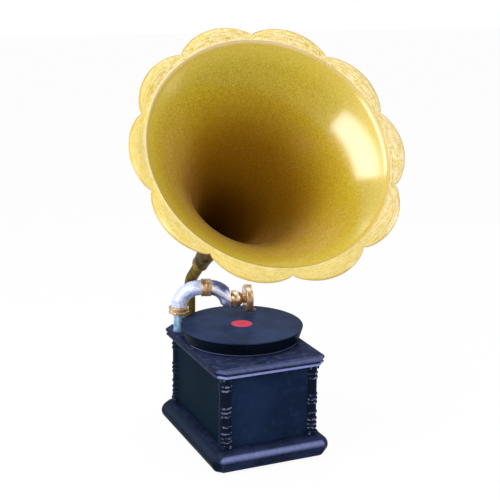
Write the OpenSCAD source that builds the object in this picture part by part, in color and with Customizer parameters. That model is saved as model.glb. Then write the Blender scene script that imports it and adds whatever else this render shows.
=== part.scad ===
// Horn gramophone with a square case, a swinging tonearm and a ten-petal horn.
// Millimetres, +Z up. The origin is the middle of the case's underside.
// X runs to the right, Y to the back, and the horn's mouth opens to the front.

/* [Case] */
// Width of the top board over its moulded edge
board_w = 235; // [232:1:250]
// Depth of the top board over its moulded edge
board_d = 310; // [308:1:325]
// Thickness of the top board
board_t = 17; // [16.5:0.5:20]
// Height of the panels between plinth and top board
panel_h = 147; // [144:1:170]
// Thickness of the panels
panel_t = 10; // [8:0.5:12]
// Distance between the corner columns' middles, side to side
column_span_x = 184; // [180:1:190]
// Distance between the corner columns' middles, front to back
column_span_y = 260; // [256:1:268]
// Radius of a corner column's plain shaft
column_r = 11.6; // [11:0.1:12]
// How far the bead rings stand out from the shaft
bead_out = 1.9; // [1:0.1:2.2]
// Height of the plinth's bull nose
plinth_h = 44; // [40:1:50]
// How far the plinth stands out past the columns' middles
plinth_out = 33; // [30:0.5:36]
// Length cut from each corner of the top board
board_cut = 18.5; // [14:0.5:20]
// Thickness of the bottom board
bottom_t = 9; // [6:0.5:12]

/* [Turntable] */
// Radius of the record
record_r = 125; // [120:1:126]
// Thickness of the record
record_t = 2.3; // [1.8:0.1:3]
// Radius of the record's label
label_r = 21.5; // [18:0.5:40]
// Radius of the turntable's foot
platter_foot_r = 117; // [112:1:119]
// Height of the turntable, foot to top
platter_h = 25.4; // [22:0.2:26]
// Thickness of the turntable's skirt and top
platter_wall = 6; // [4:0.5:8]
// Gap between the board and the turntable's foot
platter_gap = 2.5; // [2:0.5:4]
// Radius of the turntable's spindle at the record
spindle_r = 3.6; // [3.5:0.05:3.65]

/* [Tonearm] */
// Radius of the tonearm's tube
arm_r = 16; // [14:0.5:16.5]
// Wall of the tonearm's tube
arm_wall = 2; // [1:0.25:3]
// Height of the tube's middle at the top of the arch, above the base plane
arch_top = 302.5; // [300:0.5:302.5]
// Reach from the swing axis to the elbow's middle
arm_reach = 101; // [98:0.5:104]
// Turn of the arm about its swing axis, where it lies in the photograph
arm_turn = -18.2; // [-22:0.1:-14]
// Turn of the soundbox's neck, across the arm
neck_turn = -10.6; // [-14:0.1:-8]
// Radius of the pedestal that carries the arm
pedestal_r = 10.75; // [9:0.25:11]
// Radius of the collar on the pedestal
collar_r = 21; // [19:0.5:22]
// Radius of the ring at the top of the arch
ring_r = 19; // [18:0.25:19]
// Radius of the ball in the knuckle
ball_r = 17.2; // [16:0.1:18]

/* [Soundbox] */
// Radius of the soundbox
box_r = 29; // [27:0.5:29.5]
// Depth of the soundbox's shell
box_depth = 12; // [10:0.5:14]
// Thickness of the diaphragm
diaphragm_t = 0.6; // [0.4:0.1:1]
// Thickness of each rubber gasket
gasket_t = 1.4; // [1:0.1:2]
// Radius of the needle's shank
needle_r = 0.8; // [0.7:0.05:0.9]

/* [Horn] */
// Radius of the horn pipe
pipe_r = 12; // [11:0.25:12]
// Wall of the horn pipe
pipe_wall = 1.5; // [1:0.1:2]
// Bend radius of the horn pipe's middle line
bend_r = 45; // [40:1:60]
// Angle of the horn's axis above level
horn_rise = 35.9; // [33:0.1:40]
// Turn of the horn about the upright pipe
horn_turn = -5.1; // [-8:0.1:0]
// Height where the pipe's two straight axes cross
horn_cross = 293; // [290:0.5:305]
// Distance along the axis from that crossing to the valleys of the rim
horn_reach = 624; // [560:2:640]
// Radius of the bowl where the petals begin
bowl_r = 204; // [190:1:210]
// Radius of the horn's narrow end
throat_r = 15; // [14.5:0.5:18]
// Steepness of the horn's flare, per millimetre
flare = 0.0042; // [0.003:0.0001:0.006]
// Width of the rim at the valleys between petals
valley_out = 16.5; // [12:0.5:22]
// Width of the rim at the middle of a petal
petal_out = 36; // [28:0.5:41]
// Number of petals round the rim
petals = 10; // [8:1:12]
// Thickness of the horn's metal
horn_wall = 1.6; // [1.2:0.1:2.5]

/* [Motor] */
// Distance between the two motor plates
plate_gap = 60; // [58:1:64]
// Thickness of a motor plate
plate_t = 3; // [2.5:0.25:4]
// Radius of the spring barrel
barrel_r = 43; // [38:0.5:44]
// Height of the spring barrel with its wheel
barrel_h = 40; // [34:1:41]
// Wall of the spring barrel
barrel_wall = 2; // [1.5:0.25:3]
// Turns of the mainspring
spring_turns = 9; // [5:1:12]
// Thickness of the mainspring's band
spring_t = 0.6; // [0.4:0.1:0.8]
// Height of the winding shaft above the base plane
shaft_z = 97.5; // [96:0.5:100]
// Radius of the winding shaft
shaft_r = 4; // [3.5:0.25:5]
// Length of the crank's arm
crank_arm = 72; // [50:1:74]
// Length of the crank's knob
knob_len = 34; // [26:1:40]

/* [Hidden] */
$fn = 64;

// Clearances
run = 0.05;
seat = 0.3;
eps = 0.01;

// Heights of the case
shoulder_h = 2.5;
plinth_top = plinth_h + shoulder_h;
board_under = plinth_top + panel_h;
board_top = board_under + board_t;

// Plan of the case
cx = column_span_x / 2;
cy = column_span_y / 2;
panel_out = 6;
tenon_in = 6;
bottom_ledge_z = 10;
cavity_w = 2 * (cx + panel_out - panel_t) - 8;
cavity_d = 2 * (cy + panel_out - panel_t) - 8;
plinth_cut = 17;

// Turntable stack
spindle_at = [4, 13.5];
platter_z = board_top + platter_gap;
platter_top = platter_z + platter_h;
felt_t = 1;
record_z = platter_top + felt_t;
record_top = record_z + record_t;
label_t = 0.2;
platter_rim_r = record_r - 0.5;
felt_r = record_r - 3;

// Tonearm
arm_at = [-98, 109];
collar_z = board_top + 38;
collar_h = 15;
pedestal_top = collar_z + 9.5;
tube_z = collar_z + 11;
arch_r = arch_top - tube_z;
needle_drop = 5.6;
elbow_z = record_top + needle_drop + box_r;
top_run = 22;
front_dx = arm_reach - arch_r - top_run;
front_dz = arch_top - elbow_z;
front_r = (front_dx * front_dx + front_dz * front_dz) / (2 * front_dz);
front_angle = atan2(front_dx, front_r - front_dz);
split_s = arch_r + 14;
ring_len = 20;
elbow_at = [arm_at[0] + arm_reach * cos(arm_turn), arm_at[1] + arm_reach * sin(arm_turn), elbow_z];
ball_d = 17.3;
neck_r = 8.5;
neck_bore = 5.5;
cup_wall = 1.3;
box_d = 44.6;
box_back = box_d - 8;

// Horn
horn_at = [-45.7, 182.2];
socket_r = 17;
socket_top = board_top + 3.5;
bend_angle = 90 - horn_rise;
bend_tangent = bend_r * tan(bend_angle / 2);
ferrule_s = 98;
bowl_s = 118;
ridge_back = 15;
bowl_len = horn_reach - bowl_s - ridge_back;
flare_a = (bowl_r - throat_r) / (exp(flare * bowl_len) - 1);
valley_r = bowl_r + valley_out;
petal_r = bowl_r + petal_out;

// Sound duct
duct_r = 12;
duct_h = 14;
duct_z = board_top - duct_h - 0.5;
duct_turn = atan2(horn_at[1] - arm_at[1], horn_at[0] - arm_at[0]);
duct_len = norm(horn_at - arm_at);

// Motor
plate_top_z = board_under - 7.5;
plate_hi = plate_top_z - plate_t;
plate_lo = plate_hi - plate_gap;
great_n = 96;
mid_pinion_n = 16;
great_m = 1;
mid_n = 64;
spin_pinion_n = 16;
mid_m = 0.8;
gov_n = 108;
gov_pinion_n = 12;
gov_m = 0.5;
mid_turn = 200;
great_turn = -62;
gov_turn = 0;
mid_at = spindle_at + (mid_n + spin_pinion_n) * mid_m / 2 * [cos(mid_turn), sin(mid_turn)];
barrel_at = mid_at + (great_n + mid_pinion_n) * great_m / 2 * [cos(great_turn), sin(great_turn)];
gov_at = spindle_at + (gov_n + gov_pinion_n) * gov_m / 2 * [cos(gov_turn), sin(gov_turn)];
great_h = 6;
barrel_z = plate_lo + 5;
mid_wheel_z = barrel_z + barrel_h + 4;
mid_wheel_h = 4;
gov_wheel_z = mid_wheel_z + mid_wheel_h + 1.5;
gov_wheel_h = 2.5;
arbor_r = 5;
crown_n = 36;
crown_pinion_n = 12;
crown_m = 1.5;
crown_face = 4;
crown_mean_r = crown_n * crown_m / 2;
crown_pinion_r = crown_pinion_n * crown_m / 2;
crown_z = shaft_z + crown_pinion_r;
plate_x0 = -56;
plate_x1 = 62;
plate_y0 = -88;
plate_y1 = 58;
pillar_points = [[plate_x0 + 8, plate_y0 + 8], [plate_x1 - 8, plate_y0 + 8], [36, plate_y1 - 8],
    [plate_x0 + 8, plate_y1 - 8]];
pillar_r = 5;
bolt_r = 2.5;

// Crank
back_face = cy + panel_out;
crank_y = back_face + 30;
knob_r = 9;

// Governor, brake and speed lever
gov_disc_r = 14;
gov_disc_z = plate_lo + 13;
gov_ball_r = 6;
gov_ball_out = 15;
lever_z = gov_disc_z - 1;
lever_r = 2.6;
speed_at = [78, 113];
speed_arm = 10;
pad_pivot = gov_at + [18, gov_disc_r + 2];
pad_at = gov_at + [0, gov_disc_r + lever_r + 2.4];
tail_at = speed_at - [2 * lever_r + 0.9, speed_arm];
brake_at = [46, 147];

// Shared shapes

// Rod along Z from z0 to z1
module rod(r, z0, z1) {
    translate([0, 0, z0]) cylinder(r = r, h = z1 - z0);
}

// Tube along Z from z0 to z1
module pipe_z(ro, ri, z0, z1) {
    difference() {
        rod(ro, z0, z1);
        rod(ri, z0 - 1, z1 + 1);
    }
}

// Runs a 2D profile, drawn for the half width $half, along the case at one turn
module run_profile(half, turn, len) {
    $half = half;
    rotate([0, 0, turn]) rotate([90, 0, 0]) linear_extrude(len, center = true) children();
}

// Block whose four sides and four cut corners all carry the same moulded profile
module moulded(w, d, cut) {
    diagonal = (w / 2 + d / 2 - cut) / sqrt(2);
    intersection() {
        run_profile(w / 2, 0, 2 * d) children();
        run_profile(d / 2, 90, 2 * w) children();
        run_profile(diagonal, 45, 2 * d) children();
        run_profile(diagonal, -45, 2 * d) children();
    }
}

// Involute helpers: polar angle of the involute at radius r, and a point at radius r and angle a
function involute(rb, r) = r <= rb ? 0 : let(a = acos(rb / r)) tan(a) * 180 / PI - a;
function polar(r, a) = [r * cos(a), r * sin(a)];

// Outline of a spur gear with n teeth of module m, with a tooth centred on +X.
// play is the thinning of each tooth on the pitch circle, and tip the addendum in modules.
function gear_outline(n, m, play = 0.2, tip = 1) =
    let(rp = n * m / 2, rb = rp * cos(20), rt = rp + tip * m, rr = rp - 1.25 * m,
        half = 90 / n - play / 2 / rp * 180 / PI + involute(rb, rp),
        flank = [for (k = [0 : 3]) let(r = max(rb, rr) + (rt - max(rb, rr)) * k / 3) [r, half - involute(rb, r)]])
    [for (i = [0 : n - 1]) let(mid = i * 360 / n)
        each concat([polar(rr, mid - flank[0][1])], [for (p = flank) polar(p[0], mid - p[1])],
            [for (k = [3 : -1 : 0]) polar(flank[k][0], mid + flank[k][1])], [polar(rr, mid + flank[0][1])])];

module gear(n, m, h, tip = 1) {
    linear_extrude(h) polygon(gear_outline(n, m, tip = tip));
}

// Flat bar with round ends between two points of the plan
module bar(p, q, r, z0, z1) {
    d = q - p;
    half = r - 0.15;
    translate([p[0], p[1], 0]) rod(r, z0, z1);
    translate([q[0], q[1], 0]) rod(r, z0, z1);
    translate([p[0], p[1], z0]) rotate([0, 0, atan2(d[1], d[0])]) translate([0, -half, 0])
        cube([norm(d), 2 * half, z1 - z0]);
}

// Arc of a tube that starts straight up at the origin and bends towards -Y
module bend_back(r, angle, ro) {
    translate([0, -r, 0]) rotate([90, 0, 90]) rotate_extrude(angle = angle) translate([r, 0]) circle(ro);
}

// Places

module at_plan(p) translate([p[0], p[1], 0]) children();
module at_arm() at_plan(arm_at) rotate([0, 0, arm_turn]) children();
module at_elbow() translate(elbow_at) rotate([0, 0, neck_turn]) children();
module along_neck(d = 0) at_elbow() translate([d, 0, 0]) rotate([0, 90, 0]) children();
module at_pipe() at_plan(horn_at) rotate([0, 0, horn_turn]) children();
module at_horn(s = 0) at_pipe() translate([0, 0, horn_cross]) rotate([bend_angle, 0, 0])
    translate([0, 0, s]) children();

// Case

nose_r = plinth_h / 2;

module plinth_profile() {
    translate([0, nose_r]) {
        translate([$half - nose_r, 0]) circle(nose_r);
        translate([nose_r - $half, 0]) circle(nose_r);
        translate([nose_r - $half, -nose_r]) square([2 * ($half - nose_r), plinth_h]);
    }
    translate([nose_r + 6 - $half, plinth_h - 1]) square([2 * ($half - nose_r - 6), shoulder_h + 1]);
}

module plinth_frame() color([0.10, 0.13, 0.24]) {
    difference() {
        moulded(2 * (cx + plinth_out), 2 * (cy + plinth_out), plinth_cut) plinth_profile();
        translate([-cavity_w / 2, -cavity_d / 2, bottom_ledge_z]) cube([cavity_w, cavity_d, plinth_top]);
        translate([6 - cavity_w / 2, 6 - cavity_d / 2, -1]) cube([cavity_w - 12, cavity_d - 12, plinth_top]);
        base_screw_places() rod(2.1, -1, bottom_ledge_z + 1);
        base_screw_places() rod(4.3, -1, 3);
    }
}

module base_screw_places() {
    for (sx = [-1, 1], sy = [-1, 1])
        translate([sx * (cavity_w / 2 - 3), sy * (cavity_d / 2 - 24), 0]) children();
}

module bottom_board() color([0.45, 0.30, 0.18]) {
    difference() {
        translate([seat - cavity_w / 2, seat - cavity_d / 2, bottom_ledge_z])
            cube([cavity_w - 2 * seat, cavity_d - 2 * seat, bottom_t]);
        base_screw_places() rod(2.1, bottom_ledge_z - 1, bottom_ledge_z + bottom_t - 2);
    }
}

module base_screws() color([0.65, 0.62, 0.55]) {
    base_screw_places() {
        rod(2, 1, bottom_ledge_z + bottom_t - 2.5);
        rod(4, 1, 3);
    }
}

module panel_x(side) {
    translate([tenon_in - cx, side * (cy + panel_out) - (side > 0 ? panel_t : 0), plinth_top])
        cube([2 * (cx - tenon_in), panel_t, panel_h]);
}

module panel_y(side) {
    translate([side * (cx + panel_out) - (side > 0 ? panel_t : 0), tenon_in - cy, plinth_top])
        cube([panel_t, 2 * (cy - tenon_in), panel_h]);
}

module front_panel() color([0.11, 0.16, 0.27]) panel_x(-1);

module back_panel() color([0.11, 0.16, 0.27]) {
    difference() {
        panel_x(1);
        translate([barrel_at[0], back_face + 1, shaft_z]) rotate([90, 0, 0]) cylinder(r = 7.1, h = panel_t + 2);
        bracket_screw_places() rotate([90, 0, 0]) translate([0, 0, -1]) cylinder(r = 2.1, h = panel_t);
    }
}

module left_panel() color([0.07, 0.14, 0.18]) panel_y(-1);

module right_panel() color([0.07, 0.14, 0.18]) panel_y(1);

// Bead heights above the plinth, in groups of a turned column
bead_z = [13.5, 21.5, 31.5, 45.5, 66, 74.5, 83.5, 119, 128];
bead_r = 2.8;
block_h = 9;

module column() {
    rotate_extrude() {
        square([column_r, panel_h]);
        for (z = bead_z)
            translate([column_r - bead_r + bead_out, z]) circle(bead_r, $fn = 32);
    }
    translate([-column_r, -column_r, panel_h - block_h]) cube([2 * column_r, 2 * column_r, block_h]);
    translate([-column_r, -column_r, 0]) cube([2 * column_r, 2 * column_r, block_h - 2]);
}

module corner_columns() color([0.08, 0.11, 0.20]) {
    difference() {
        for (sx = [-1, 1], sy = [-1, 1])
            translate([sx * cx, sy * cy, plinth_top]) column();
        panel_x(-1);
        panel_x(1);
        panel_y(-1);
        panel_y(1);
    }
}

groove_h = 1.2;
edge_bead_r = 3.1;
groove_in = 5;
edge_bead_in = 1.2;

module board_profile() {
    roll_z = 2 * edge_bead_r + groove_h;
    roll_r = (board_t - roll_z) / 2;
    translate([0, board_under]) {
        for (s = [-1, 1]) {
            translate([s * ($half - roll_r), roll_z + roll_r]) circle(roll_r);
            translate([s * ($half - edge_bead_in - edge_bead_r), edge_bead_r]) circle(edge_bead_r);
        }
        translate([roll_r - $half, roll_z]) square([2 * ($half - roll_r), board_t - roll_z]);
        translate([groove_in - $half, edge_bead_r]) square([2 * ($half - groove_in), board_t / 2]);
        translate([edge_bead_in + edge_bead_r - $half, 0])
            square([2 * ($half - edge_bead_in - edge_bead_r), 2 * edge_bead_r]);
    }
}

module duct_plan(grow, z0, z1) {
    at_plan(arm_at) rotate([0, 0, duct_turn]) {
        rod(duct_r + 1.5 + grow, z0, z1);
        translate([0, -duct_r - grow, z0]) cube([duct_len, 2 * (duct_r + grow), z1 - z0]);
    }
}

module bolt_places() {
    for (p = pillar_points) translate([p[0], p[1], 0]) children();
}

module motor_board() color([0.20, 0.21, 0.36]) {
    difference() {
        moulded(board_w, board_d, board_cut) board_profile();
        duct_plan(seat, duct_z, board_top + 1);
        at_plan(horn_at) rod(socket_r + seat, board_under - 1, board_top + 1);
        at_plan(spindle_at) rod(16, board_under - 1, board_top + 1);
        bolt_places() rod(bolt_r + 0.1, board_under - 1, board_top + 1);
        bolt_places() rod(bolt_r * 2 + 0.3, board_top - 3.3, board_top + 1);
        at_plan(speed_at) rod(3 + run, board_under - 1, board_top + 1);
        at_plan(brake_at) rod(3 + run, board_under + 5, board_top + 1);
    }
}

module crank_escutcheon() color([0.72, 0.55, 0.25]) {
    translate([barrel_at[0], back_face, shaft_z]) rotate([-90, 0, 0]) difference() {
        union() {
            cylinder(r = 16, h = 2.5);
            cylinder(r = 8.5, h = 5);
            translate([0, 0, -panel_t]) cylinder(r = 7, h = panel_t + 1);
        }
        translate([0, 0, -panel_t - 1]) cylinder(r = shaft_r + run, h = panel_t + 8);
        for (a = [45 : 90 : 359]) rotate([0, 0, a]) translate([12.2, 0, 1]) cylinder(r = 1.5, h = 3);
    }
}

// Sound path in the case

module sound_duct() color([0.16, 0.17, 0.30]) {
    difference() {
        union() {
            duct_plan(0, duct_z, duct_z + duct_h);
            at_plan(horn_at) rod(socket_r, duct_z - 12, socket_top);
        }
        at_plan(arm_at) rod(pedestal_r + run, duct_z + duct_h - 6, socket_top);
        at_plan(arm_at) rod(pedestal_r - 2, duct_z + 2.5, socket_top);
        at_plan(arm_at) rotate([0, 0, duct_turn]) translate([0, 3 - duct_r, duct_z + 2.5])
            cube([duct_len, 2 * duct_r - 6, duct_h - 5]);
        at_plan(horn_at) rod(pipe_r - pipe_wall, duct_z + 2.5, socket_top + 1);
        at_plan(horn_at) rod(pipe_r + run, duct_z + duct_h - 7, socket_top + 1);
    }
}

module bracket_screw_places() {
    for (dx = [-18, 18], dz = [-22, 22])
        translate([horn_at[0] + dx, back_face, bracket_z + dz]) children();
}

bracket_z = duct_z - 44;
bracket_plate_t = 4;

module horn_bracket() color([0.10, 0.12, 0.20]) {
    difference() {
        union() {
            translate([horn_at[0] - 24, back_face, bracket_z - 28]) cube([48, bracket_plate_t, 56]);
            translate([horn_at[0] - 5, back_face, 0]) rotate([90, 0, 90]) linear_extrude(10)
                polygon([[0, bracket_z - 2], [14, duct_z - 28], [horn_at[1] - back_face, duct_z - 20],
                    [horn_at[1] - back_face, duct_z - 14], [0, bracket_z + 26]]);
            at_plan(horn_at) rod(socket_r, duct_z - 20, duct_z - 12);
        }
        bracket_screw_places() rotate([-90, 0, 0]) translate([0, 0, -1]) cylinder(r = 2.1, h = 8);
    }
}

module bracket_screws() color([0.65, 0.62, 0.55]) {
    bracket_screw_places() rotate([-90, 0, 0]) {
        translate([0, 0, -panel_t + 2]) cylinder(r = 2, h = panel_t);
        translate([0, 0, bracket_plate_t]) intersection() {
            translate([0, 0, -4.4]) sphere(5.6);
            translate([0, 0, -bracket_plate_t]) rod(4, bracket_plate_t, 9);
        }
        cylinder(r = 2, h = bracket_plate_t);
    }
}

// Tonearm

module arm_pedestal() color([0.50, 0.58, 0.78]) {
    at_plan(arm_at) difference() {
        union() {
            rod(pedestal_r, duct_z + duct_h - 6, pedestal_top);
            rod(pedestal_r + 1.4, board_top - 0.5, board_top + 2.2);
        }
        rod(pedestal_r - 2, duct_z, pedestal_top + 1);
    }
}

module arm_collar() color([0.70, 0.56, 0.36]) {
    at_arm() difference() {
        rotate_extrude() {
            translate([pedestal_r + run, collar_z]) square([collar_r - 2.5 - pedestal_r, collar_h]);
            translate([pedestal_r - 2, pedestal_top + seat]) square([4, tube_z - pedestal_top - seat]);
            translate([collar_r - 3.4, collar_z + 3.4]) circle(3.4);
            translate([collar_r - 3.4, collar_z + collar_h - 3.4]) circle(3.4);
            translate([collar_r - 4, collar_z + 3]) square([3, collar_h - 6]);
        }
        rod(arm_r + seat, tube_z, collar_z + collar_h + 1);
    }
}

module rear_path(r, extra) {
    translate([0, 0, arch_top]) {
        translate([arch_r, 0, 0]) rotate([0, 90, 0]) cylinder(r = r, h = split_s - arch_r + extra);
        translate([arch_r, 0, -arch_r]) rotate([90, 0, 0]) rotate([0, 0, 90])
            rotate_extrude(angle = 90) translate([arch_r, 0]) circle(r);
    }
}

module front_path(r, extra) {
    translate([arch_r + top_run, 0, arch_top]) {
        rotate([0, -90, 0]) cylinder(r = r, h = arch_r + top_run - split_s + extra);
        translate([0, 0, -front_r]) mirror([1, 0, 0]) rotate([90, 0, 0]) rotate([0, 0, 90])
            rotate_extrude(angle = front_angle) translate([front_r, 0]) circle(r);
    }
}

module arm_rear_tube() color([0.55, 0.62, 0.82]) {
    at_arm() difference() {
        rear_path(arm_r, 0);
        rear_path(arm_r - arm_wall, 1);
    }
}

module arm_ring() color([0.62, 0.47, 0.26]) {
    at_arm() translate([split_s - ring_len / 2, 0, arch_top]) rotate([0, 90, 0]) rotate_extrude() {
        translate([arm_r, 0]) square([ring_r - arm_r - 1, ring_len]);
        for (z = [2.2, ring_len / 2, ring_len - 2.2])
            translate([ring_r - 1.4, z]) circle(1.4, $fn = 32);
    }
}

module arm_front_tube() color([0.55, 0.62, 0.82]) {
    difference() {
        union() {
            at_arm() front_path(arm_r, 0);
            translate(elbow_at) sphere(arm_r + 0.3);
        }
        at_arm() front_path(arm_r - arm_wall, 1);
        along_neck() cylinder(r = neck_bore + 3, h = 30);
        along_neck(ball_d) sphere(ball_r + seat + cup_wall + seat);
        along_neck(flange_x) cylinder(r = 40, h = 30);
    }
}

flange_x = 3.2;
flange_t = 3.2;
flange_r = 18.6;
cup_end = 2.2;

module knuckle_cup() color([0.86, 0.74, 0.55]) {
    difference() {
        union() {
            along_neck(flange_x) rotate_extrude() {
                square([flange_r - flange_t / 2, flange_t]);
                translate([flange_r - flange_t / 2, flange_t / 2]) circle(flange_t / 2, $fn = 32);
            }
            intersection() {
                along_neck(ball_d) sphere(ball_r + seat + cup_wall);
                along_neck(flange_x + 1) cylinder(r = 30, h = ball_d - flange_x - 1 + cup_end);
            }
        }
        along_neck(ball_d) sphere(ball_r + seat);
        along_neck() cylinder(r = neck_bore + 3, h = 12);
        at_elbow() translate([ball_d, 0, 0]) rotate([90, 0, 0]) cylinder(r = 2, h = 60, center = true);
    }
}

module knuckle_pin() color([0.55, 0.45, 0.30]) {
    at_elbow() translate([ball_d, 0, 0]) rotate([90, 0, 0])
        cylinder(r = 2, h = 2 * (ball_r + cup_wall + seat), center = true);
}

module knuckle_ball() color([0.80, 0.62, 0.36]) {
    difference() {
        union() {
            along_neck(ball_d) sphere(ball_r);
            along_neck(ball_d) cylinder(r = neck_r, h = box_back - ball_d);
            along_neck(ball_d + ball_r - 1.5) cylinder(r = neck_r + 1.6, h = box_back - ball_d - ball_r + 1.5);
        }
        along_neck() cylinder(r = neck_bore, h = box_d);
        at_elbow() translate([ball_d, 0, 0]) rotate([90, 0, 0]) cylinder(r = 2 + run, h = 60, center = true);
    }
}

// Soundbox, in order from its neck to its front

box_wall = 3;
diaphragm_x = box_back + 6;
front_x = diaphragm_x + diaphragm_t / 2 + gasket_t;
window_r = box_r - 8;

module soundbox_back() color([0.66, 0.48, 0.28]) {
    along_neck(box_back) difference() {
        rotate_extrude() {
            square([box_r - 3, 3]);
            translate([box_r - 3, 3]) circle(3, $fn = 48);
            translate([0, 3]) square([box_r, front_x - box_back - 3 + 2]);
        }
        translate([0, 0, 3]) cylinder(r = box_r - box_wall - 5, h = 40);
        translate([0, 0, diaphragm_x - box_back - diaphragm_t / 2 - gasket_t])
            cylinder(r = box_r - box_wall, h = 40);
        translate([0, 0, -5]) cylinder(r = neck_bore, h = 20);
        screw_circle() translate([0, 0, front_x - box_back - 4]) cylinder(r = 1.1, h = 20);
    }
}

module screw_circle() {
    for (a = [0 : 120 : 359]) rotate([0, 0, a + 60]) translate([box_r - 1.7, 0, 0]) children();
}

module soundbox_gaskets() color([0.12, 0.10, 0.10]) {
    for (x = [diaphragm_x - diaphragm_t / 2 - gasket_t, diaphragm_x + diaphragm_t / 2])
        along_neck(x) pipe_z(box_r - box_wall - 0.1, box_r - box_wall - 4, 0, gasket_t);
}

module diaphragm() color([0.88, 0.86, 0.80]) {
    along_neck(diaphragm_x - diaphragm_t / 2) cylinder(r = box_r - box_wall - 0.1, h = diaphragm_t);
}

module soundbox_front() color([0.72, 0.54, 0.32]) {
    along_neck(front_x) difference() {
        rotate_extrude() {
            translate([window_r, 0]) square([box_r - box_wall - 0.1 - window_r, 4]);
            translate([window_r, 2]) square([box_r - 2 - window_r, 4]);
            translate([box_r - 2, 4]) circle(2, $fn = 32);
            translate([window_r + 1.5, 6]) circle(1.5, $fn = 32);
        }
        screw_circle() translate([0, 0, -1]) cylinder(r = 1.1, h = 20);
    }
}

module soundbox_screws() color([0.75, 0.68, 0.50]) {
    along_neck(front_x) screw_circle() {
        translate([0, 0, -3.5]) cylinder(r = 1, h = 9);
        translate([0, 0, 6.1]) cylinder(r = 1.6, h = 1.4);
        translate([0, 0, 5.4]) cylinder(r = 1, h = 1);
    }
}

// The stylus bar lies in front of the diaphragm, from its middle down to the needle's chuck
bar_x = front_x + 9.8;
chuck_z = -box_r + 2.5;
chuck_r = 3.2;

module stylus_bar() color([0.62, 0.60, 0.56]) {
    at_elbow() difference() {
        union() {
            translate([bar_x, 0, chuck_z + 2]) cylinder(r1 = 1.8, r2 = 1, h = -chuck_z - 2);
            translate([bar_x, 0, 0]) rotate([0, -90, 0]) cylinder(r = 1, h = bar_x - diaphragm_x - diaphragm_t / 2);
            translate([bar_x, 0, 0]) sphere(1.6);
            translate([bar_x, 0, chuck_z - 4]) cylinder(r = chuck_r, h = 6.2);
            translate([front_x + 6, -3.5, chuck_z - 1]) cube([3, 7, 3]);
        }
        translate([bar_x, 0, chuck_z - 5]) cylinder(r = needle_r, h = 9);
        translate([bar_x, 0, chuck_z - 1]) rotate([0, 90, 0]) cylinder(r = 1.2, h = 10);
    }
}

module needle() color([0.80, 0.80, 0.82]) {
    needle_tip_z = record_top + label_t + 0.1 - elbow_z;
    at_elbow() translate([bar_x, 0, 0]) {
        translate([0, 0, chuck_z - 6]) cylinder(r = needle_r, h = 9.5);
        translate([0, 0, needle_tip_z]) cylinder(r1 = 0.15, r2 = needle_r, h = chuck_z - 6 - needle_tip_z);
    }
}

module needle_screw() color([0.70, 0.62, 0.45]) {
    at_elbow() translate([bar_x, 0, chuck_z - 1]) rotate([0, 90, 0]) {
        rod(1.15, 1.2, 6);
        difference() {
            rod(3, 4.2, 7.2);
            for (a = [0 : 36 : 359]) rotate([0, 0, a]) translate([3.2, 0, 4]) cylinder(r = 0.5, h = 4);
        }
    }
}

// Horn

// Upright pipe, bend and straight run; the run is a sleeve that differs from the bend by step
module pipe_path(r, z0, s1, step) {
    at_pipe() translate([0, 0, horn_cross - bend_tangent]) {
        rotate([180, 0, 0]) cylinder(r = r, h = horn_cross - bend_tangent - z0);
        bend_back(bend_r, bend_angle, r);
    }
    at_horn(bend_tangent - 1) cylinder(r = r + step, h = s1 - bend_tangent + 1);
}

sleeve_step = 0.2;

module horn_pipe() color([0.35, 0.33, 0.16]) {
    difference() {
        union() {
            pipe_path(pipe_r, duct_z + duct_h - 6.5, bowl_s - 2, sleeve_step);
            at_plan(horn_at) rotate_extrude() translate([0, socket_top + seat]) {
                square([pipe_r + 3, 4]);
                translate([pipe_r + 3, 2]) circle(2, $fn = 32);
            }
        }
        pipe_path(pipe_r - pipe_wall, duct_z, bowl_s + 2, -sleeve_step);
    }
}

module pipe_collar() color([0.60, 0.48, 0.20]) {
    at_horn(ferrule_s) difference() {
        rotate_extrude() {
            square([throat_r, bowl_s - ferrule_s + 6]);
            for (z = [3, 11])
                translate([pipe_r + 1.9, z]) circle(3, $fn = 32);
        }
        translate([0, 0, -1]) cylinder(r = pipe_r + sleeve_step, h = bowl_s - ferrule_s - 1);
        translate([0, 0, -1]) cylinder(r = pipe_r - pipe_wall, h = 40);
    }
}

// Inner radius of the bowl at distance t from its narrow end
function bowl_at(t) = throat_r + flare_a * (exp(flare * t) - 1);
bowl_steps = 26;
bead_steps = 12;
ridge_r = 2.2;

// Wall of the bowl, up its inside, round the bead of its mouth and down its outside
function bowl_outline() =
    let(turn = atan(1 / (flare * (bowl_r - throat_r + flare_a))),
        ts = [for (i = [0 : bowl_steps]) (bowl_len - ridge_r - 0.3) * pow(i / bowl_steps, 0.85)])
    concat([for (t = ts) [bowl_at(t), t]],
        [for (k = [0 : bead_steps]) let(a = turn + 155 - k * 310 / bead_steps)
            [bowl_r + horn_wall / 2 + ridge_r * cos(a), bowl_len + ridge_r * sin(a)]],
        [for (i = [bowl_steps : -1 : 0]) [bowl_at(ts[i]) + horn_wall, ts[i]]]);

module horn_bowl() color([0.86, 0.72, 0.30]) {
    at_horn(bowl_s) rotate_extrude() polygon(bowl_outline());
}

// Petal rim: a ring of faces from the bowl's bead out to the scalloped edge.
// lobe is 0 in a valley and 1 in the middle of a petal.
lobe_steps = 8;
rim_steps = 4;
valley_turn = 88;
petal_lift = 4;

function lobe(a) = pow(abs(sin(petals / 2 * (a - valley_turn))), 0.7);
function rim_point(a, u, side) =
    let(l = lobe(a), r0 = bowl_r + horn_wall + 0.6, r1 = valley_r + (petal_r - valley_r) * l,
        r = r0 + (r1 - r0) * u, z = bowl_len + 0.2 + (ridge_back + petal_lift * l) * sin(u * 78) / sin(78)
            + 3.5 * l * sin(u * 180))
    [r * cos(a), r * sin(a), z - side * horn_wall * 1.2];

function id(side, j, i) = let(around = petals * lobe_steps)
    (side * (rim_steps + 1) + j) * around + (i % around);

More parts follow.
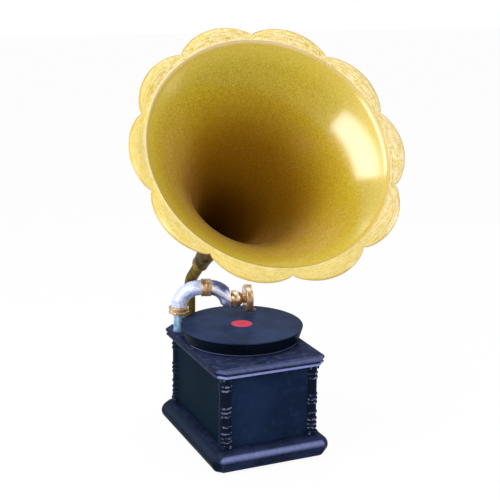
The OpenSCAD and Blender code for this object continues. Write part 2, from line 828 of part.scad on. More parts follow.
module horn_petals() color([0.84, 0.68, 0.24]) {
    around = petals * lobe_steps;
    points = [for (side = [0, 1], j = [0 : rim_steps], i = [0 : around - 1])
        rim_point(valley_turn + i * 360 / around, j / rim_steps, side)];
    faces = concat(
        [for (j = [0 : rim_steps - 1], i = [0 : around - 1])
            each [[id(0, j, i), id(0, j + 1, i), id(0, j + 1, i + 1)], [id(0, j, i), id(0, j + 1, i + 1), id(0, j, i + 1)]]],
        [for (j = [0 : rim_steps - 1], i = [0 : around - 1])
            each [[id(1, j, i), id(1, j + 1, i + 1), id(1, j + 1, i)], [id(1, j, i), id(1, j, i + 1), id(1, j + 1, i + 1)]]],
        [for (i = [0 : around - 1])
            each [[id(0, 0, i), id(0, 0, i + 1), id(1, 0, i + 1)], [id(0, 0, i), id(1, 0, i + 1), id(1, 0, i)]]],
        [for (i = [0 : around - 1])
            each [[id(0, rim_steps, i), id(1, rim_steps, i + 1), id(0, rim_steps, i + 1)],
                [id(0, rim_steps, i), id(1, rim_steps, i), id(1, rim_steps, i + 1)]]]);
    at_horn(bowl_s) polyhedron(points, [for (f = faces) [f[2], f[1], f[0]]]);
}

// Turntable and record

module turntable() color([0.10, 0.12, 0.17]) {
    hub_z = board_top - 3;
    at_plan(spindle_at) difference() {
        rotate_extrude() {
            polygon([[platter_foot_r - platter_wall, platter_z], [platter_foot_r, platter_z],
                [platter_rim_r, platter_top], [0, platter_top], [0, platter_top - platter_wall],
                [platter_rim_r - platter_wall - 3, platter_top - platter_wall]]);
            translate([0, hub_z]) square([12, platter_top - hub_z - 1]);
            translate([platter_foot_r - 1, platter_z + 1.6]) circle(1.6, $fn = 32);
        }
        rod(5, hub_z - 1, platter_top - 3.5);
        rod(spindle_r, hub_z, platter_top + 1);
    }
}

module turntable_felt() color([0.12, 0.14, 0.20]) {
    at_plan(spindle_at) pipe_z(felt_r, spindle_r + 0.5, platter_top, platter_top + felt_t);
}

module record() color([0.16, 0.19, 0.30]) {
    at_plan(spindle_at) rotate_extrude() {
        translate([spindle_r + run, record_z]) square([record_r - record_t / 2 - spindle_r - run, record_t]);
        translate([record_r - record_t / 2, record_z + record_t / 2]) circle(record_t / 2, $fn = 32);
    }
}

module record_label() color([0.80, 0.24, 0.30]) {
    at_plan(spindle_at) pipe_z(label_r, spindle_r + run, record_top, record_top + label_t);
}

module spindle() color([0.62, 0.62, 0.64]) {
    at_plan(spindle_at) {
        rod(spindle_r, platter_top - 4, record_top + label_t);
        rod(5, plate_lo + 6, platter_top - 3.5);
        rod(2.5, plate_lo - 2, plate_lo + 7);
        rod(9, board_top - 5.5, board_top - 3);
        translate([0, 0, mid_wheel_z - 1]) rotate([0, 0, mid_turn + 180 / spin_pinion_n])
            gear(spin_pinion_n, mid_m, mid_wheel_h + 2);
        translate([0, 0, gov_wheel_z]) rotate([0, 0, gov_turn]) difference() {
            gear(gov_n, gov_m, gov_wheel_h, 0.8);
            for (a = [36 : 72 : 359]) rotate([0, 0, a]) translate([15, 0, -1]) cylinder(r = 5, h = gov_wheel_h + 2);
        }
    }
}

// Motor

module intermediate_gear() color([0.72, 0.60, 0.32]) {
    at_plan(mid_at) {
        rod(2.5, plate_lo - 2, plate_top_z - 0.5);
        rod(4, plate_lo + 0.4, plate_hi - 0.6);
        translate([0, 0, barrel_z - 1]) rotate([0, 0, great_turn + 180 / mid_pinion_n])
            gear(mid_pinion_n, great_m, great_h + 2);
        translate([0, 0, mid_wheel_z]) rotate([0, 0, mid_turn + 180]) difference() {
            gear(mid_n, mid_m, mid_wheel_h, 0.8);
            for (a = [30 : 60 : 359]) rotate([0, 0, a]) translate([14.5, 0, -1]) cylinder(r = 5, h = mid_wheel_h + 2);
        }
    }
}

module motor_plate(z) {
    difference() {
        translate([plate_x0, plate_y0, z]) cube([plate_x1 - plate_x0, plate_y1 - plate_y0, plate_t]);
        for (p = pillar_points) at_plan(p) rod(bolt_r + 0.1, z - 1, z + plate_t + 1);
        at_plan(mid_at) rod(2.5 + run, z - 1, z + plate_t + 1);
        at_plan(gov_at) rod(1.5 + run, z - 1, z + plate_t + 1);
        children();
    }
}

module motor_top_plate() color([0.55, 0.56, 0.58]) {
    motor_plate(plate_hi) {
        at_plan(spindle_at) rod(5 + run, plate_hi - 1, plate_top_z + 1);
        at_plan(barrel_at) rod(arbor_r + run, plate_hi - 1, plate_top_z + 1);
    }
}

module motor_bottom_plate() color([0.55, 0.56, 0.58]) {
    motor_plate(plate_lo - plate_t) {
        at_plan(spindle_at) rod(2.5 + run, plate_lo - plate_t - 1, plate_lo + 1);
        at_plan(barrel_at) rod(arbor_r + run, plate_lo - plate_t - 1, plate_lo + 1);
    }
    at_plan(pad_pivot) {
        rod(4, plate_lo - 1, lever_z - seat);
        rod(2, plate_lo - 1, lever_z + 6);
    }
}

module motor_pillars() color([0.60, 0.60, 0.62]) {
    bolt_places() {
        pipe_z(pillar_r, bolt_r + 0.1, plate_lo, plate_hi);
        pipe_z(pillar_r, bolt_r + 0.1, plate_top_z, board_under);
    }
}

module motor_bolts() color([0.50, 0.50, 0.52]) {
    bolt_places() {
        rod(bolt_r, plate_lo - plate_t - 5, board_top - 1);
        rod(bolt_r * 2, board_top - 3.3, board_top - 0.4);
        translate([0, 0, plate_lo - plate_t - 4]) cylinder(r = 4.6, h = 4, $fn = 6);
    }
}

module spring_barrel() color([0.74, 0.62, 0.36]) {
    at_plan(barrel_at) difference() {
        union() {
            translate([0, 0, barrel_z]) rotate([0, 0, great_turn + 180]) gear(great_n, great_m, great_h, 0.8);
            rod(barrel_r, barrel_z, barrel_z + barrel_h);
            rod(9, barrel_z - 4, barrel_z + 1);
        }
        rod(barrel_r - barrel_wall, barrel_z + barrel_wall, barrel_z + barrel_h + 1);
        rod(arbor_r + run, barrel_z - 5, barrel_z + 3);
    }
}

module barrel_lid() color([0.70, 0.58, 0.34]) {
    at_plan(barrel_at) difference() {
        union() {
            rod(barrel_r, barrel_z + barrel_h, barrel_z + barrel_h + 2);
            rod(9, barrel_z + barrel_h, barrel_z + barrel_h + 3.2);
        }
        rod(arbor_r + run, barrel_z, barrel_z + barrel_h + 8);
    }
}

// Band of the mainspring, wound outwards from the arbor's hub to the barrel's wall
module mainspring() color([0.30, 0.34, 0.42]) {
    hub = arbor_r + 4.2;
    out = barrel_r - barrel_wall - spring_t - 0.3;
    steps = spring_turns * 20;
    spiral = [for (i = [0 : steps]) [hub + (out - hub) * i / steps, i * 18]];
    at_plan(barrel_at) translate([0, 0, barrel_z + barrel_wall]) linear_extrude(barrel_h - barrel_wall - 1)
        polygon(concat([for (p = spiral) polar(p[0], p[1])],
            [for (i = [steps : -1 : 0]) polar(spiral[i][0] + spring_t, spiral[i][1])]));
}

crown_r = crown_mean_r + crown_face / 2;

module winding_arbor() color([0.58, 0.58, 0.60]) {
    tooth = PI * crown_m / 4 - 0.25;
    slope = tan(20) * crown_m;
    at_plan(barrel_at) {
        rod(arbor_r, crown_z + 2, plate_top_z + 1);
        rod(arbor_r + 3.8, barrel_z + barrel_wall + 0.5, barrel_z + barrel_h - 0.5);
        pipe_z(crown_r, crown_mean_r - crown_face / 2 - 3, crown_z + 2, crown_z + 6);
        for (a = [0 : 60 : 179]) rotate([0, 0, a])
            translate([-crown_mean_r, -4, crown_z + 2]) cube([2 * crown_mean_r, 8, 4]);
        rod(11, crown_z + 2, crown_z + 8);
        for (i = [0 : crown_n - 1]) rotate([0, 0, 90 + (i + 0.5) * 360 / crown_n])
            translate([crown_mean_r - crown_face / 2, 0, crown_z]) rotate([90, 0, 90]) linear_extrude(crown_face)
                polygon([[-tooth - slope * 1.4, 2.1], [tooth + slope * 1.4, 2.1], [tooth - slope * 0.7, -0.7 * crown_m],
                    [slope * 0.7 - tooth, -0.7 * crown_m]]);
    }
}

module winding_shaft() color([0.56, 0.56, 0.58]) {
    y0 = barrel_at[1] + crown_mean_r - crown_face / 2;
    translate([barrel_at[0], 0, shaft_z]) rotate([-90, 0, 0]) {
        rod(shaft_r, y0 - 3, crank_y + 7);
        translate([0, 0, y0]) rotate([0, 0, -90]) gear(crown_pinion_n, crown_m, crown_face);
        rod(crown_pinion_r - 2.5, y0 - 1.5, y0 + crown_face + 1.5);
        rod(shaft_r + 2.5, bracket_y - 2.6, bracket_y - 0.3);
    }
}

bracket_y = 44;
bracket_t = 5;

module shaft_bracket() color([0.42, 0.43, 0.46]) {
    difference() {
        for (y = [bracket_y, barrel_at[1] + crown_r + 4])
            translate([barrel_at[0] - 9, y, shaft_z - 9]) cube([18, bracket_t, plate_lo - plate_t - shaft_z + 9]);
        translate([barrel_at[0], 0, shaft_z]) rotate([90, 0, 0]) cylinder(r = shaft_r + run, h = 200, center = true);
    }
}

module crank() color([0.60, 0.60, 0.62]) {
    translate([barrel_at[0], crank_y, shaft_z]) rotate([-90, 0, 0]) difference() {
        union() {
            cylinder(r = 8, h = 8);
            bar([0, 0], [0, -crank_arm], 5, 1, 7);
            translate([0, -crank_arm, 0]) cylinder(r = 7, h = 7.5);
            translate([0, -crank_arm, 7]) cylinder(r = 2.6, h = knob_len + 2);
            translate([0, -crank_arm, 7 + knob_len + 0.8]) cylinder(r = 4.2, h = 1.6);
        }
        translate([0, 0, -1]) cylinder(r = shaft_r, h = 8);
    }
}

module crank_knob() color([0.16, 0.10, 0.07]) {
    translate([barrel_at[0], crank_y, shaft_z + crank_arm]) rotate([-90, 0, 0]) translate([0, 0, 7.8])
        difference() {
            rotate_extrude() {
                square([knob_r - 3, knob_len - 0.4]);
                translate([knob_r - 4, 4]) circle(4);
                translate([0, 4]) square([knob_r, knob_len - 9]);
                translate([knob_r - 4.5, knob_len - 5]) circle(4.5);
            }
            translate([0, 0, -10]) cylinder(r = 2.6 + run, h = knob_len + 20);
            translate([0, 0, knob_len - 0.4]) cylinder(r = 20, h = 20);
            translate([0, 0, -20]) cylinder(r = 20, h = 20);
        }
}

// Governor: a small shaft with three sprung weights and a friction disc

gov_collar_z = gov_disc_z + 34;

module governor_shaft() color([0.70, 0.68, 0.62]) {
    at_plan(gov_at) {
        rod(1.5, plate_lo - 2, plate_top_z - 0.5);
        rod(2.6, plate_lo + 0.4, gov_wheel_z - 0.5);
        translate([0, 0, gov_wheel_z - 0.8]) rotate([0, 0, gov_turn + 180 + 180 / gov_pinion_n])
            gear(gov_pinion_n, gov_m, gov_wheel_h + 1.4);
        rod(gov_disc_r, gov_disc_z, gov_disc_z + 2.5);
        rod(5, gov_disc_z, gov_disc_z + 8);
        rod(5, gov_collar_z - 6, gov_collar_z);
    }
}

// Each weight rides in the middle of a leaf spring that bows out between disc and collar
module governor_weights() color([0.72, 0.58, 0.30]) {
    lo = gov_disc_z + 4;
    hi = gov_collar_z - 2;
    mid_z = (lo + hi) / 2;
    bow = gov_ball_out - gov_ball_r + 0.8;
    at_plan(gov_at) for (a = [0 : 120 : 359]) rotate([0, 0, a]) {
        translate([gov_ball_out, 0, mid_z]) sphere(gov_ball_r);
        rotate([90, 0, 0]) linear_extrude(5, center = true)
            polygon([[4.6, lo], [5.6, lo], [5.6, lo + 3], [bow + 1, mid_z - 3], [bow + 1, mid_z + 3], [5.6, hi - 3],
                [5.6, hi], [4.6, hi], [4.6, hi - 3], [bow, mid_z + 3], [bow, mid_z - 3], [4.6, lo + 3]]);
    }
}

module governor_lever() color([0.50, 0.50, 0.54]) {
    difference() {
        union() {
            bar(pad_pivot, pad_at, lever_r, lever_z, lever_z + 3);
            bar(pad_pivot, pad_pivot + 1.03 * (tail_at - pad_pivot), lever_r, lever_z, lever_z + 3);
            at_plan(pad_pivot) rod(4.5, lever_z, lever_z + 5);
        }
        at_plan(pad_pivot) rod(2 + run, lever_z - 1, lever_z + 6);
    }
}

module speed_lever() color([0.40, 0.40, 0.44]) {
    at_plan(speed_at) {
        rod(3, lever_z - 1, board_top + 1);
        rod(5, board_top + 0.4, board_top + 4);
    }
    bar(speed_at, speed_at - [0, speed_arm], 1.6, lever_z, lever_z + 3);
    at_plan(speed_at - [0, speed_arm]) rod(lever_r, lever_z, lever_z + 3);
    bar(speed_at, speed_at + [16, 8], 2.2, board_top + 1, board_top + 3.6);
}

module brake_lever() color([0.45, 0.45, 0.48]) {
    reach = platter_foot_r + 0.7 + 0.6 + 3;
    touch = spindle_at + [6, sqrt(reach * reach - 36)];
    bar(brake_at, touch, 3, board_top + 3, board_top + 6);
    bar(brake_at, brake_at + [22, 0], 3, board_top + 3, board_top + 6);
    at_plan(brake_at) {
        rod(3, board_under + 5.5, board_top + 7);
        rod(5.5, board_top + 0.3, board_top + 7);
    }
}

plinth_frame();
bottom_board();
base_screws();
front_panel();
back_panel();
left_panel();
right_panel();
corner_columns();
motor_board();
crank_escutcheon();
sound_duct();
horn_bracket();
bracket_screws();
arm_pedestal();
arm_collar();
arm_rear_tube();
arm_ring();
arm_front_tube();
knuckle_cup();
knuckle_pin();
knuckle_ball();
soundbox_back();
soundbox_gaskets();
diaphragm();
soundbox_front();
soundbox_screws();
stylus_bar();
needle();
needle_screw();
horn_pipe();
pipe_collar();
horn_bowl();
horn_petals();
turntable();
turntable_felt();
record();
record_label();
spindle();
intermediate_gear();
motor_top_plate();
motor_bottom_plate();
motor_pillars();
motor_bolts();
spring_barrel();
barrel_lid();
mainspring();
winding_arbor();
winding_shaft();
shaft_bracket();
crank();
crank_knob();
governor_shaft();
governor_weights();
governor_lever();
speed_lever();
brake_lever();
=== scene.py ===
"""Looks of a horn gramophone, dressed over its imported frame.

Sizes in the classes are millimetres in the row frame, and become metres once, when a mesh is made.
Every pattern reads Object coordinates, or the bell's own map. In a finish, a field whose name ends in _rough says
how far that noise moves the roughness.
"""
import logging
import math
from dataclasses import dataclass, field
from enum import Enum
from typing import Protocol

import bpy
import numpy as np
from mathutils import Matrix, Vector


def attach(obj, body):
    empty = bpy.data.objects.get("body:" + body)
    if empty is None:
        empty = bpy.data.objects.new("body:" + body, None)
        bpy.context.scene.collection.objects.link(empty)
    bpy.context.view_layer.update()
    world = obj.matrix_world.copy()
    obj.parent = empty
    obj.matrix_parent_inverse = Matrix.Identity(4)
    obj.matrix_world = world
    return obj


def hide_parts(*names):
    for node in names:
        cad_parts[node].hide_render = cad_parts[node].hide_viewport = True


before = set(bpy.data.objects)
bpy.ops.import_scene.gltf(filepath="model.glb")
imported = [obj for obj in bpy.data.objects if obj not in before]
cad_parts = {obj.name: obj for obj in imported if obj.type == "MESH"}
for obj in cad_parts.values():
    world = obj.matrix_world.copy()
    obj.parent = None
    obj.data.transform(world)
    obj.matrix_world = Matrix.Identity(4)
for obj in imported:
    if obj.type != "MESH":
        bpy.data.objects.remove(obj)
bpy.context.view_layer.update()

MM = 0.001
PER_METRE = 1000
NOISE_MIDDLE = 0.5
NOISE_LAYERING = 0.55
WHITE = (1, 1, 1, 1)
SENSOR = 36
Pair = tuple[float, float]
Triple = tuple[float, float, float]
log = logging.getLogger("gramophone")


def linear(colour: Triple) -> tuple[float, float, float, float]:
    """Turns a colour as read from a screen into linear light with alpha 1.

    Args:
        colour: Red, green and blue, 0 to 255.

    Returns:
        Linear red, green, blue and alpha.
    """
    parts = [c / 255 for c in colour]
    light = [c / 12.92 if c <= 0.04045 else ((c + 0.055) / 1.055) ** 2.4 for c in parts]
    return (light[0], light[1], light[2], 1.0)


@dataclass(frozen=True)
class Grain:
    """Noise: the size of its patches in mm, its finer layers, and how much finer it is along each axis."""

    size: float
    detail: float = 2.0
    stretch: Triple = (1, 1, 1)


@dataclass(frozen=True)
class Mark:
    """Where a mark of paint starts and where it is full, in noise, mm or a cosine, and the share that shows."""

    start: float
    full: float
    share: float = 1.0


@dataclass(frozen=True)
class Stripe:
    """A band from low to high that falls off over soft on both sides, in mm, and the share that shows."""

    low: float
    high: float
    soft: float = 1.0
    share: float = 1.0


class Wire:
    """A number or a vector inside a node tree that can be written in sums."""

    def __init__(self, bench: "Bench", socket: bpy.types.NodeSocket) -> None:
        """Keeps the socket and the bench that makes its nodes."""
        self.bench = bench
        self.socket = socket

    def __add__(self, other: "Wire | float") -> "Wire":
        """Sum."""
        return self.bench.math("ADD", self, other)

    def __radd__(self, other: "Wire | float") -> "Wire":
        """Sum with the number first."""
        return self.bench.math("ADD", other, self)

    def __sub__(self, other: "Wire | float") -> "Wire":
        """Difference."""
        return self.bench.math("SUBTRACT", self, other)

    def __rsub__(self, other: "Wire | float") -> "Wire":
        """Difference with the number first."""
        return self.bench.math("SUBTRACT", other, self)

    def __mul__(self, other: "Wire | float") -> "Wire":
        """Product."""
        return self.bench.math("MULTIPLY", self, other)

    def __rmul__(self, other: "Wire | float") -> "Wire":
        """Product with the number first."""
        return self.bench.math("MULTIPLY", other, self)

    def __truediv__(self, other: "Wire | float") -> "Wire":
        """Quotient."""
        return self.bench.math("DIVIDE", self, other)

    def __rtruediv__(self, other: "Wire | float") -> "Wire":
        """Quotient with the number first."""
        return self.bench.math("DIVIDE", other, self)


class Bench:
    """Makes the nodes of one tree."""

    def __init__(self, tree: bpy.types.NodeTree) -> None:
        """Empties the tree."""
        self.tree = tree
        self.tree.nodes.clear()

    def node(self, kind: str, settings: dict | None = None, inputs: dict | None = None) -> bpy.types.Node:
        """Adds one node.

        Args:
            kind: The node's type.
            settings: Its attributes.
            inputs: Socket name or index to a value, a Wire or a socket.

        Returns:
            The node.
        """
        made = self.tree.nodes.new(kind)
        for key, value in (settings or {}).items():
            setattr(made, key, value)
        for key, value in (inputs or {}).items():
            self.feed(made.inputs[key], value)
        return made

    def feed(self, socket: bpy.types.NodeSocket, value: object) -> None:
        """Links a Wire or a socket to an input, or sets a plain value on it.

        Args:
            socket: The input.
            value: What it gets.
        """
        if isinstance(value, Wire):
            self.tree.links.new(value.socket, socket)
        elif isinstance(value, bpy.types.NodeSocket):
            self.tree.links.new(value, socket)
        else:
            socket.default_value = value

    def math(self, operation: str, a: "Wire | float", b: "Wire | float" = 0.0) -> Wire:
        """One Math node on two numbers."""
        return Wire(self, self.node("ShaderNodeMath", {"operation": operation}, {0: a, 1: b}).outputs[0])

    def vector(self, operation: str, *values: object) -> Wire:
        """One Vector Math node, as a vector, or as a number where it gives a length."""
        made = self.node("ShaderNodeVectorMath", {"operation": operation}, dict(enumerate(values)))
        return Wire(self, made.outputs["Value" if operation == "LENGTH" else "Vector"])

    def seen(self, *rays: str) -> Wire:
        """1 on any of the named kinds of ray, which are outputs of Light Path.

        Args:
            rays: The outputs' names.

        Returns:
            1 on those rays and 0 on others.
        """
        path = self.node("ShaderNodeLightPath")
        found = Wire(self, path.outputs[rays[0]])
        for name in rays[1:]:
            found = self.math("MAXIMUM", found, Wire(self, path.outputs[name]))
        return found


class Skin(Bench):
    """The nodes of one material, around one Principled shader."""

    def __init__(self, name: str) -> None:
        """Makes an empty material with a Principled shader on its output.

        Args:
            name: The material's name.
        """
        self.material = bpy.data.materials.new(name)
        self.material.use_nodes = True
        super().__init__(self.material.node_tree)
        self.shader = self.node("ShaderNodeBsdfPrincipled")
        self.end = self.node("ShaderNodeOutputMaterial", inputs={"Surface": self.shader.outputs[0]})
        self.spot = self.node("ShaderNodeTexCoord")

    def place(self) -> Wire:
        """The point in the row frame, in metres."""
        return Wire(self, self.spot.outputs["Object"])

    def map(self) -> Wire:
        """The piece's own map, in metres round the axis and metres along the surface."""
        return Wire(self, self.spot.outputs["UV"])

    def parts(self, vector: Wire) -> list[Wire]:
        """The three numbers of a vector in metres, in mm."""
        made = self.node("ShaderNodeSeparateXYZ", inputs={0: vector})
        return [Wire(self, made.outputs[i]) * PER_METRE for i in range(3)]

    def from_axis(self, x: float, y: float, where: Wire | None = None) -> Wire:
        """Distance from an upright axis through x, y, in mm."""
        flat = self.vector("MULTIPLY_ADD", where or self.place(), (1, 1, 0), (-x * MM, -y * MM, 0))
        return self.vector("LENGTH", flat) * PER_METRE

    def noise(self, grain: Grain, where: Wire | None = None) -> Wire:
        """Soft noise around a half.

        Args:
            grain: Its size, layers and stretch.
            where: The vector it is read at, or None for the point in the row frame.

        Returns:
            The noise.
        """
        at = self.vector("MULTIPLY", where or self.place(), grain.stretch)
        made = self.node("ShaderNodeTexNoise", {"noise_dimensions": "3D"},
                         {"Vector": at, "Scale": PER_METRE / grain.size, "Detail": grain.detail,
                          "Roughness": NOISE_LAYERING})
        return Wire(self, made.outputs["Fac"])

    def swing(self, noise: Wire, reach: float) -> Wire:
        """A noise moved to swing about zero, times its reach."""
        return (noise - NOISE_MIDDLE) * reach

    def rise(self, value: Wire, low: float, high: float) -> Wire:
        """0 at low, 1 at high and a smooth step between, also downwards where low is above high."""
        made = self.node("ShaderNodeMapRange", {"interpolation_type": "SMOOTHSTEP"},
                         {"Value": value, "From Min": low, "From Max": high})
        return Wire(self, made.outputs[0])

    def mark(self, value: Wire, mark: Mark) -> Wire:
        """How much of a mark shows at a value."""
        shown = self.rise(value, mark.start, mark.full)
        return shown if mark.share == 1 else shown * mark.share

    def stripe(self, value: Wire, band: Stripe) -> Wire:
        """How much of a band shows at a value."""
        shown = self.rise(value, band.low - band.soft, band.low) * self.rise(value, band.high + band.soft, band.high)
        return shown if band.share == 1 else shown * band.share

    def facing(self, turn: Wire, middle: float, mark: Mark) -> Wire:
        """How much of a mark shows at the cosine of an angle's distance from a middle one, in radians."""
        return self.mark(self.math("COSINE", turn - middle), mark)

    def mix(self, share: Wire | float, a: object, b: object) -> Wire:
        """A colour between a and b."""
        made = self.node("ShaderNodeMix", {"data_type": "RGBA"}, {0: share, 6: a, 7: b})
        return Wire(self, made.outputs[2])

    def paint(self, colour: Wire, rough: Wire, height: Wire, depth: float) -> None:
        """Feeds the shader its colour, its roughness and its normal.

        Args:
            colour: The base colour.
            rough: The roughness.
            height: The relief, in units of depth.
            depth: The relief's unit, in mm.
        """
        bump = self.node("ShaderNodeBump", inputs={"Height": height, "Distance": depth * MM})
        self.feed(self.shader.inputs["Base Color"], colour)
        self.feed(self.shader.inputs["Roughness"], rough)
        self.feed(self.shader.inputs["Normal"], bump.outputs[0])

    def set(self, **values: float) -> None:
        """Sets plain numbers on the shader.

        Args:
            values: gloss, metal, coat, coat_rough or coat_ior.
        """
        names = {"gloss": "Specular IOR Level", "metal": "Metallic", "coat": "Coat Weight",
                 "coat_rough": "Coat Roughness", "coat_ior": "Coat IOR"}
        for key, value in values.items():
            self.shader.inputs[names[key]].default_value = value


class Finish(Protocol):
    """What a node or a piece is dressed in."""

    name: str

    def make(self) -> bpy.types.Material:
        """Builds the material."""


class Marks(Enum):
    """The tool marks a bare metal shows, as how much finer they are along each axis."""

    GROUND = (1, 9, 1)
    TURNED = (0.1, 0.1, 4)
    CAST = (1, 1, 1)


@dataclass(frozen=True)
class Enamel:
    """Brushed enamel: soft patches, faint brushstrokes and peel, with coloured bands at stated heights.

    Pale bands are painted highlights along the mouldings, broken up by noise; a red band colours the spindle's tip.
    The bands show in front of the plane y = -front, and faintly behind it. Left of the plane x = -left the paint
    leans to a darker tone, a painted shade on that side.
    """

    name: str
    mid: Triple
    dark: Triple
    light: Triple
    rough: float = 0.34
    gloss: float = 0.3
    metal: float = 0.0
    patch: Grain = Grain(45, 3)
    patch_mark: Mark = Mark(0.4, 0.62)
    patch_rough: float = 0.16
    stroke: Grain = Grain(14, 3, (1, 1, 6))
    stroke_mark: Mark = Mark(0.48, 0.78, 0.6)
    stroke_rough: float = 0.12
    stroke_relief: float = 0.8
    peel: float = 0.05
    peel_grain: Grain = Grain(3.2)
    # colour of the bands: a pale painted highlight on the mouldings, red on the spindle's tip
    band_colour: Triple = (134, 144, 200)
    bands: tuple[Stripe, ...] = ()
    blotch: Grain = Grain(7, 3)
    blotch_swing: float = 0.8
    blotch_least: float = 0.6
    front: float = 0.0
    front_step: Pair = (3, -1)
    behind: float = 0.08
    left: float = 0.0
    left_step: Pair = (2, -1)
    left_share: float = 0.85
    # tone of the painted shade on the left side
    left_shade: Triple = (8, 24, 34)

    def make(self) -> bpy.types.Material:
        """Builds the material.

        Returns:
            The material.
        """
        s = Skin(self.name)
        patch = s.noise(self.patch)
        strokes = s.noise(self.stroke)
        colour = s.mix(s.mark(patch, self.patch_mark), linear(self.mid), linear(self.dark))
        colour = s.mix(s.mark(strokes, self.stroke_mark), colour, linear(self.light))
        across, deep, height = s.parts(s.place())
        # painted shade: the paint darkens left of the plane x = -left
        if self.left:
            shaded_left = s.rise(across, *(step - self.left for step in self.left_step)) * self.left_share
            colour = s.mix(shaded_left, colour, linear(self.left_shade))
        # painted highlight: pale bands along the mouldings, broken up by noise, full in front and faint behind
        pale_share = s.noise(self.blotch) * self.blotch_swing + self.blotch_least
        ahead = s.rise(deep, *(step - self.front for step in self.front_step)) * (1 - self.behind) + self.behind
        for band in self.bands:
            colour = s.mix(s.stripe(height, band) * pale_share * ahead, colour, linear(self.band_colour))
        rough = s.swing(patch, self.patch_rough) + s.swing(strokes, self.stroke_rough) + self.rough
        s.paint(colour, rough, s.noise(self.peel_grain) + strokes * self.stroke_relief, self.peel)
        s.set(gloss=self.gloss, metal=self.metal)
        return s.material


@dataclass(frozen=True)
class ColumnEnamel:
    """Enamel on the turned columns: a painted shade, nearly black, in the hollows, and painted glints on the beads.

    The distance from the nearest column's axis picks the tone. The painted glints sit on the crests to front and
    back, where most of that distance runs along y, and noise breaks them into dots.
    """

    name: str = "column_enamel"
    hollow_shade: Triple = (8, 14, 26)
    shaft: Triple = (22, 34, 56)
    crest_glint: Triple = (150, 152, 190)
    column: Pair = (92, 130)
    shaft_mark: Mark = Mark(11.2, 12.2)
    bead: Stripe = Stripe(13.0, 14.1, 0.5)
    bead_stray: float = 1.2
    front_mark: Mark = Mark(0.45, 0.8)
    glint_grain: Grain = Grain(5, 3)
    glint_mark: Mark = Mark(0.46, 0.58, 0.55)
    glint_rough: float = 0.2
    rough: float = 0.3
    peel: float = 0.05
    peel_grain: Grain = Grain(3)
    gloss: float = 0.02

    def make(self) -> bpy.types.Material:
        """Builds the material.

        Returns:
            The material.
        """
        s = Skin(self.name)
        mirrored = s.vector("ABSOLUTE", s.place())
        out = s.from_axis(*self.column, mirrored)
        ahead = s.parts(mirrored)[1] - self.column[1]
        glint_noise = s.noise(self.glint_grain)
        # painted glints: pale dots on the bead crests that face front and back
        crest_glint = s.stripe(out + s.swing(glint_noise, self.bead_stray), self.bead) * s.mark(ahead / out, self.front_mark)
        # painted shade: nearly black in the hollows, where the column is thinnest
        colour = s.mix(s.mark(out, self.shaft_mark), linear(self.hollow_shade), linear(self.shaft))
        colour = s.mix(crest_glint * s.mark(glint_noise, self.glint_mark), colour, linear(self.crest_glint))
        s.paint(colour, s.swing(glint_noise, self.glint_rough) + self.rough, s.noise(self.peel_grain), self.peel)
        s.set(gloss=self.gloss)
        return s.material


@dataclass(frozen=True)
class Lustre:
    """Metallic paint, scuffed and mottled: patches of a dark tone and pale streaks over a middle one.

    bend is an axis x, y, a share of the distance from it and a share of the height, whose sum is the reach. A
    painted highlight shows in one band of the reach, and a painted shade of a dark tone past a mark of it.
    """

    name: str
    mid: Triple
    dark: Triple
    light: Triple
    patch: float = 14.0
    patch_mark: Mark = Mark(0.46, 0.7, 0.7)
    patch_rough: float = 0.2
    streak: Triple = (2, 2, 2)
    streak_size: float = 1.6
    streak_mark: Mark = Mark(0.5, 0.68, 0.8)
    streak_rough: float = 0.1
    fleck: Grain = Grain(1.8, 1)
    fleck_mark: Mark = Mark(0.6, 0.72, 0.2)
    rough: float = 0.28
    metal: float = 0.35
    gloss: float = 0.4
    coat: float = 0.15
    coat_rough: float = 0.1
    relief: float = 0.1
    relief_grain: Grain = Grain(3)
    bend: tuple[float, ...] = ()
    bend_stray: float = 8.0
    bend_shade: Triple = (24, 34, 78)
    highlight_at: Stripe = Stripe(0, 0)
    shade_at: Mark | None = None

    def make(self) -> bpy.types.Material:
        """Builds the material.

        Returns:
            The material.
        """
        s = Skin(self.name)
        patch = s.noise(Grain(self.patch, 3))
        streak = s.noise(Grain(self.patch * self.streak_size, 4, self.streak))
        fleck = s.noise(self.fleck)
        colour = s.mix(s.mark(patch, self.patch_mark), linear(self.mid), linear(self.dark))
        colour = s.mix(s.mark(streak, self.streak_mark), colour, linear(self.light))
        colour = s.mix(s.mark(fleck, self.fleck_mark), colour, linear(self.light))
        if self.bend:
            x, y, out, up = self.bend
            reach = s.from_axis(x, y) * out + s.parts(s.place())[2] * up + s.swing(patch, self.bend_stray) * up
            # painted highlight: a pale band of the reach
            colour = s.mix(s.stripe(reach, self.highlight_at), colour, linear(self.light))
            if self.shade_at:
                # painted shade: a dark tone past a mark of the reach
                colour = s.mix(s.mark(reach, self.shade_at), colour, linear(self.bend_shade))
        rough = s.swing(patch, self.patch_rough) + s.swing(streak, self.streak_rough) + self.rough
        s.paint(colour, rough, s.noise(self.relief_grain) + streak, self.relief)
        s.set(gloss=self.gloss, metal=self.metal, coat=self.coat, coat_rough=self.coat_rough)
        return s.material


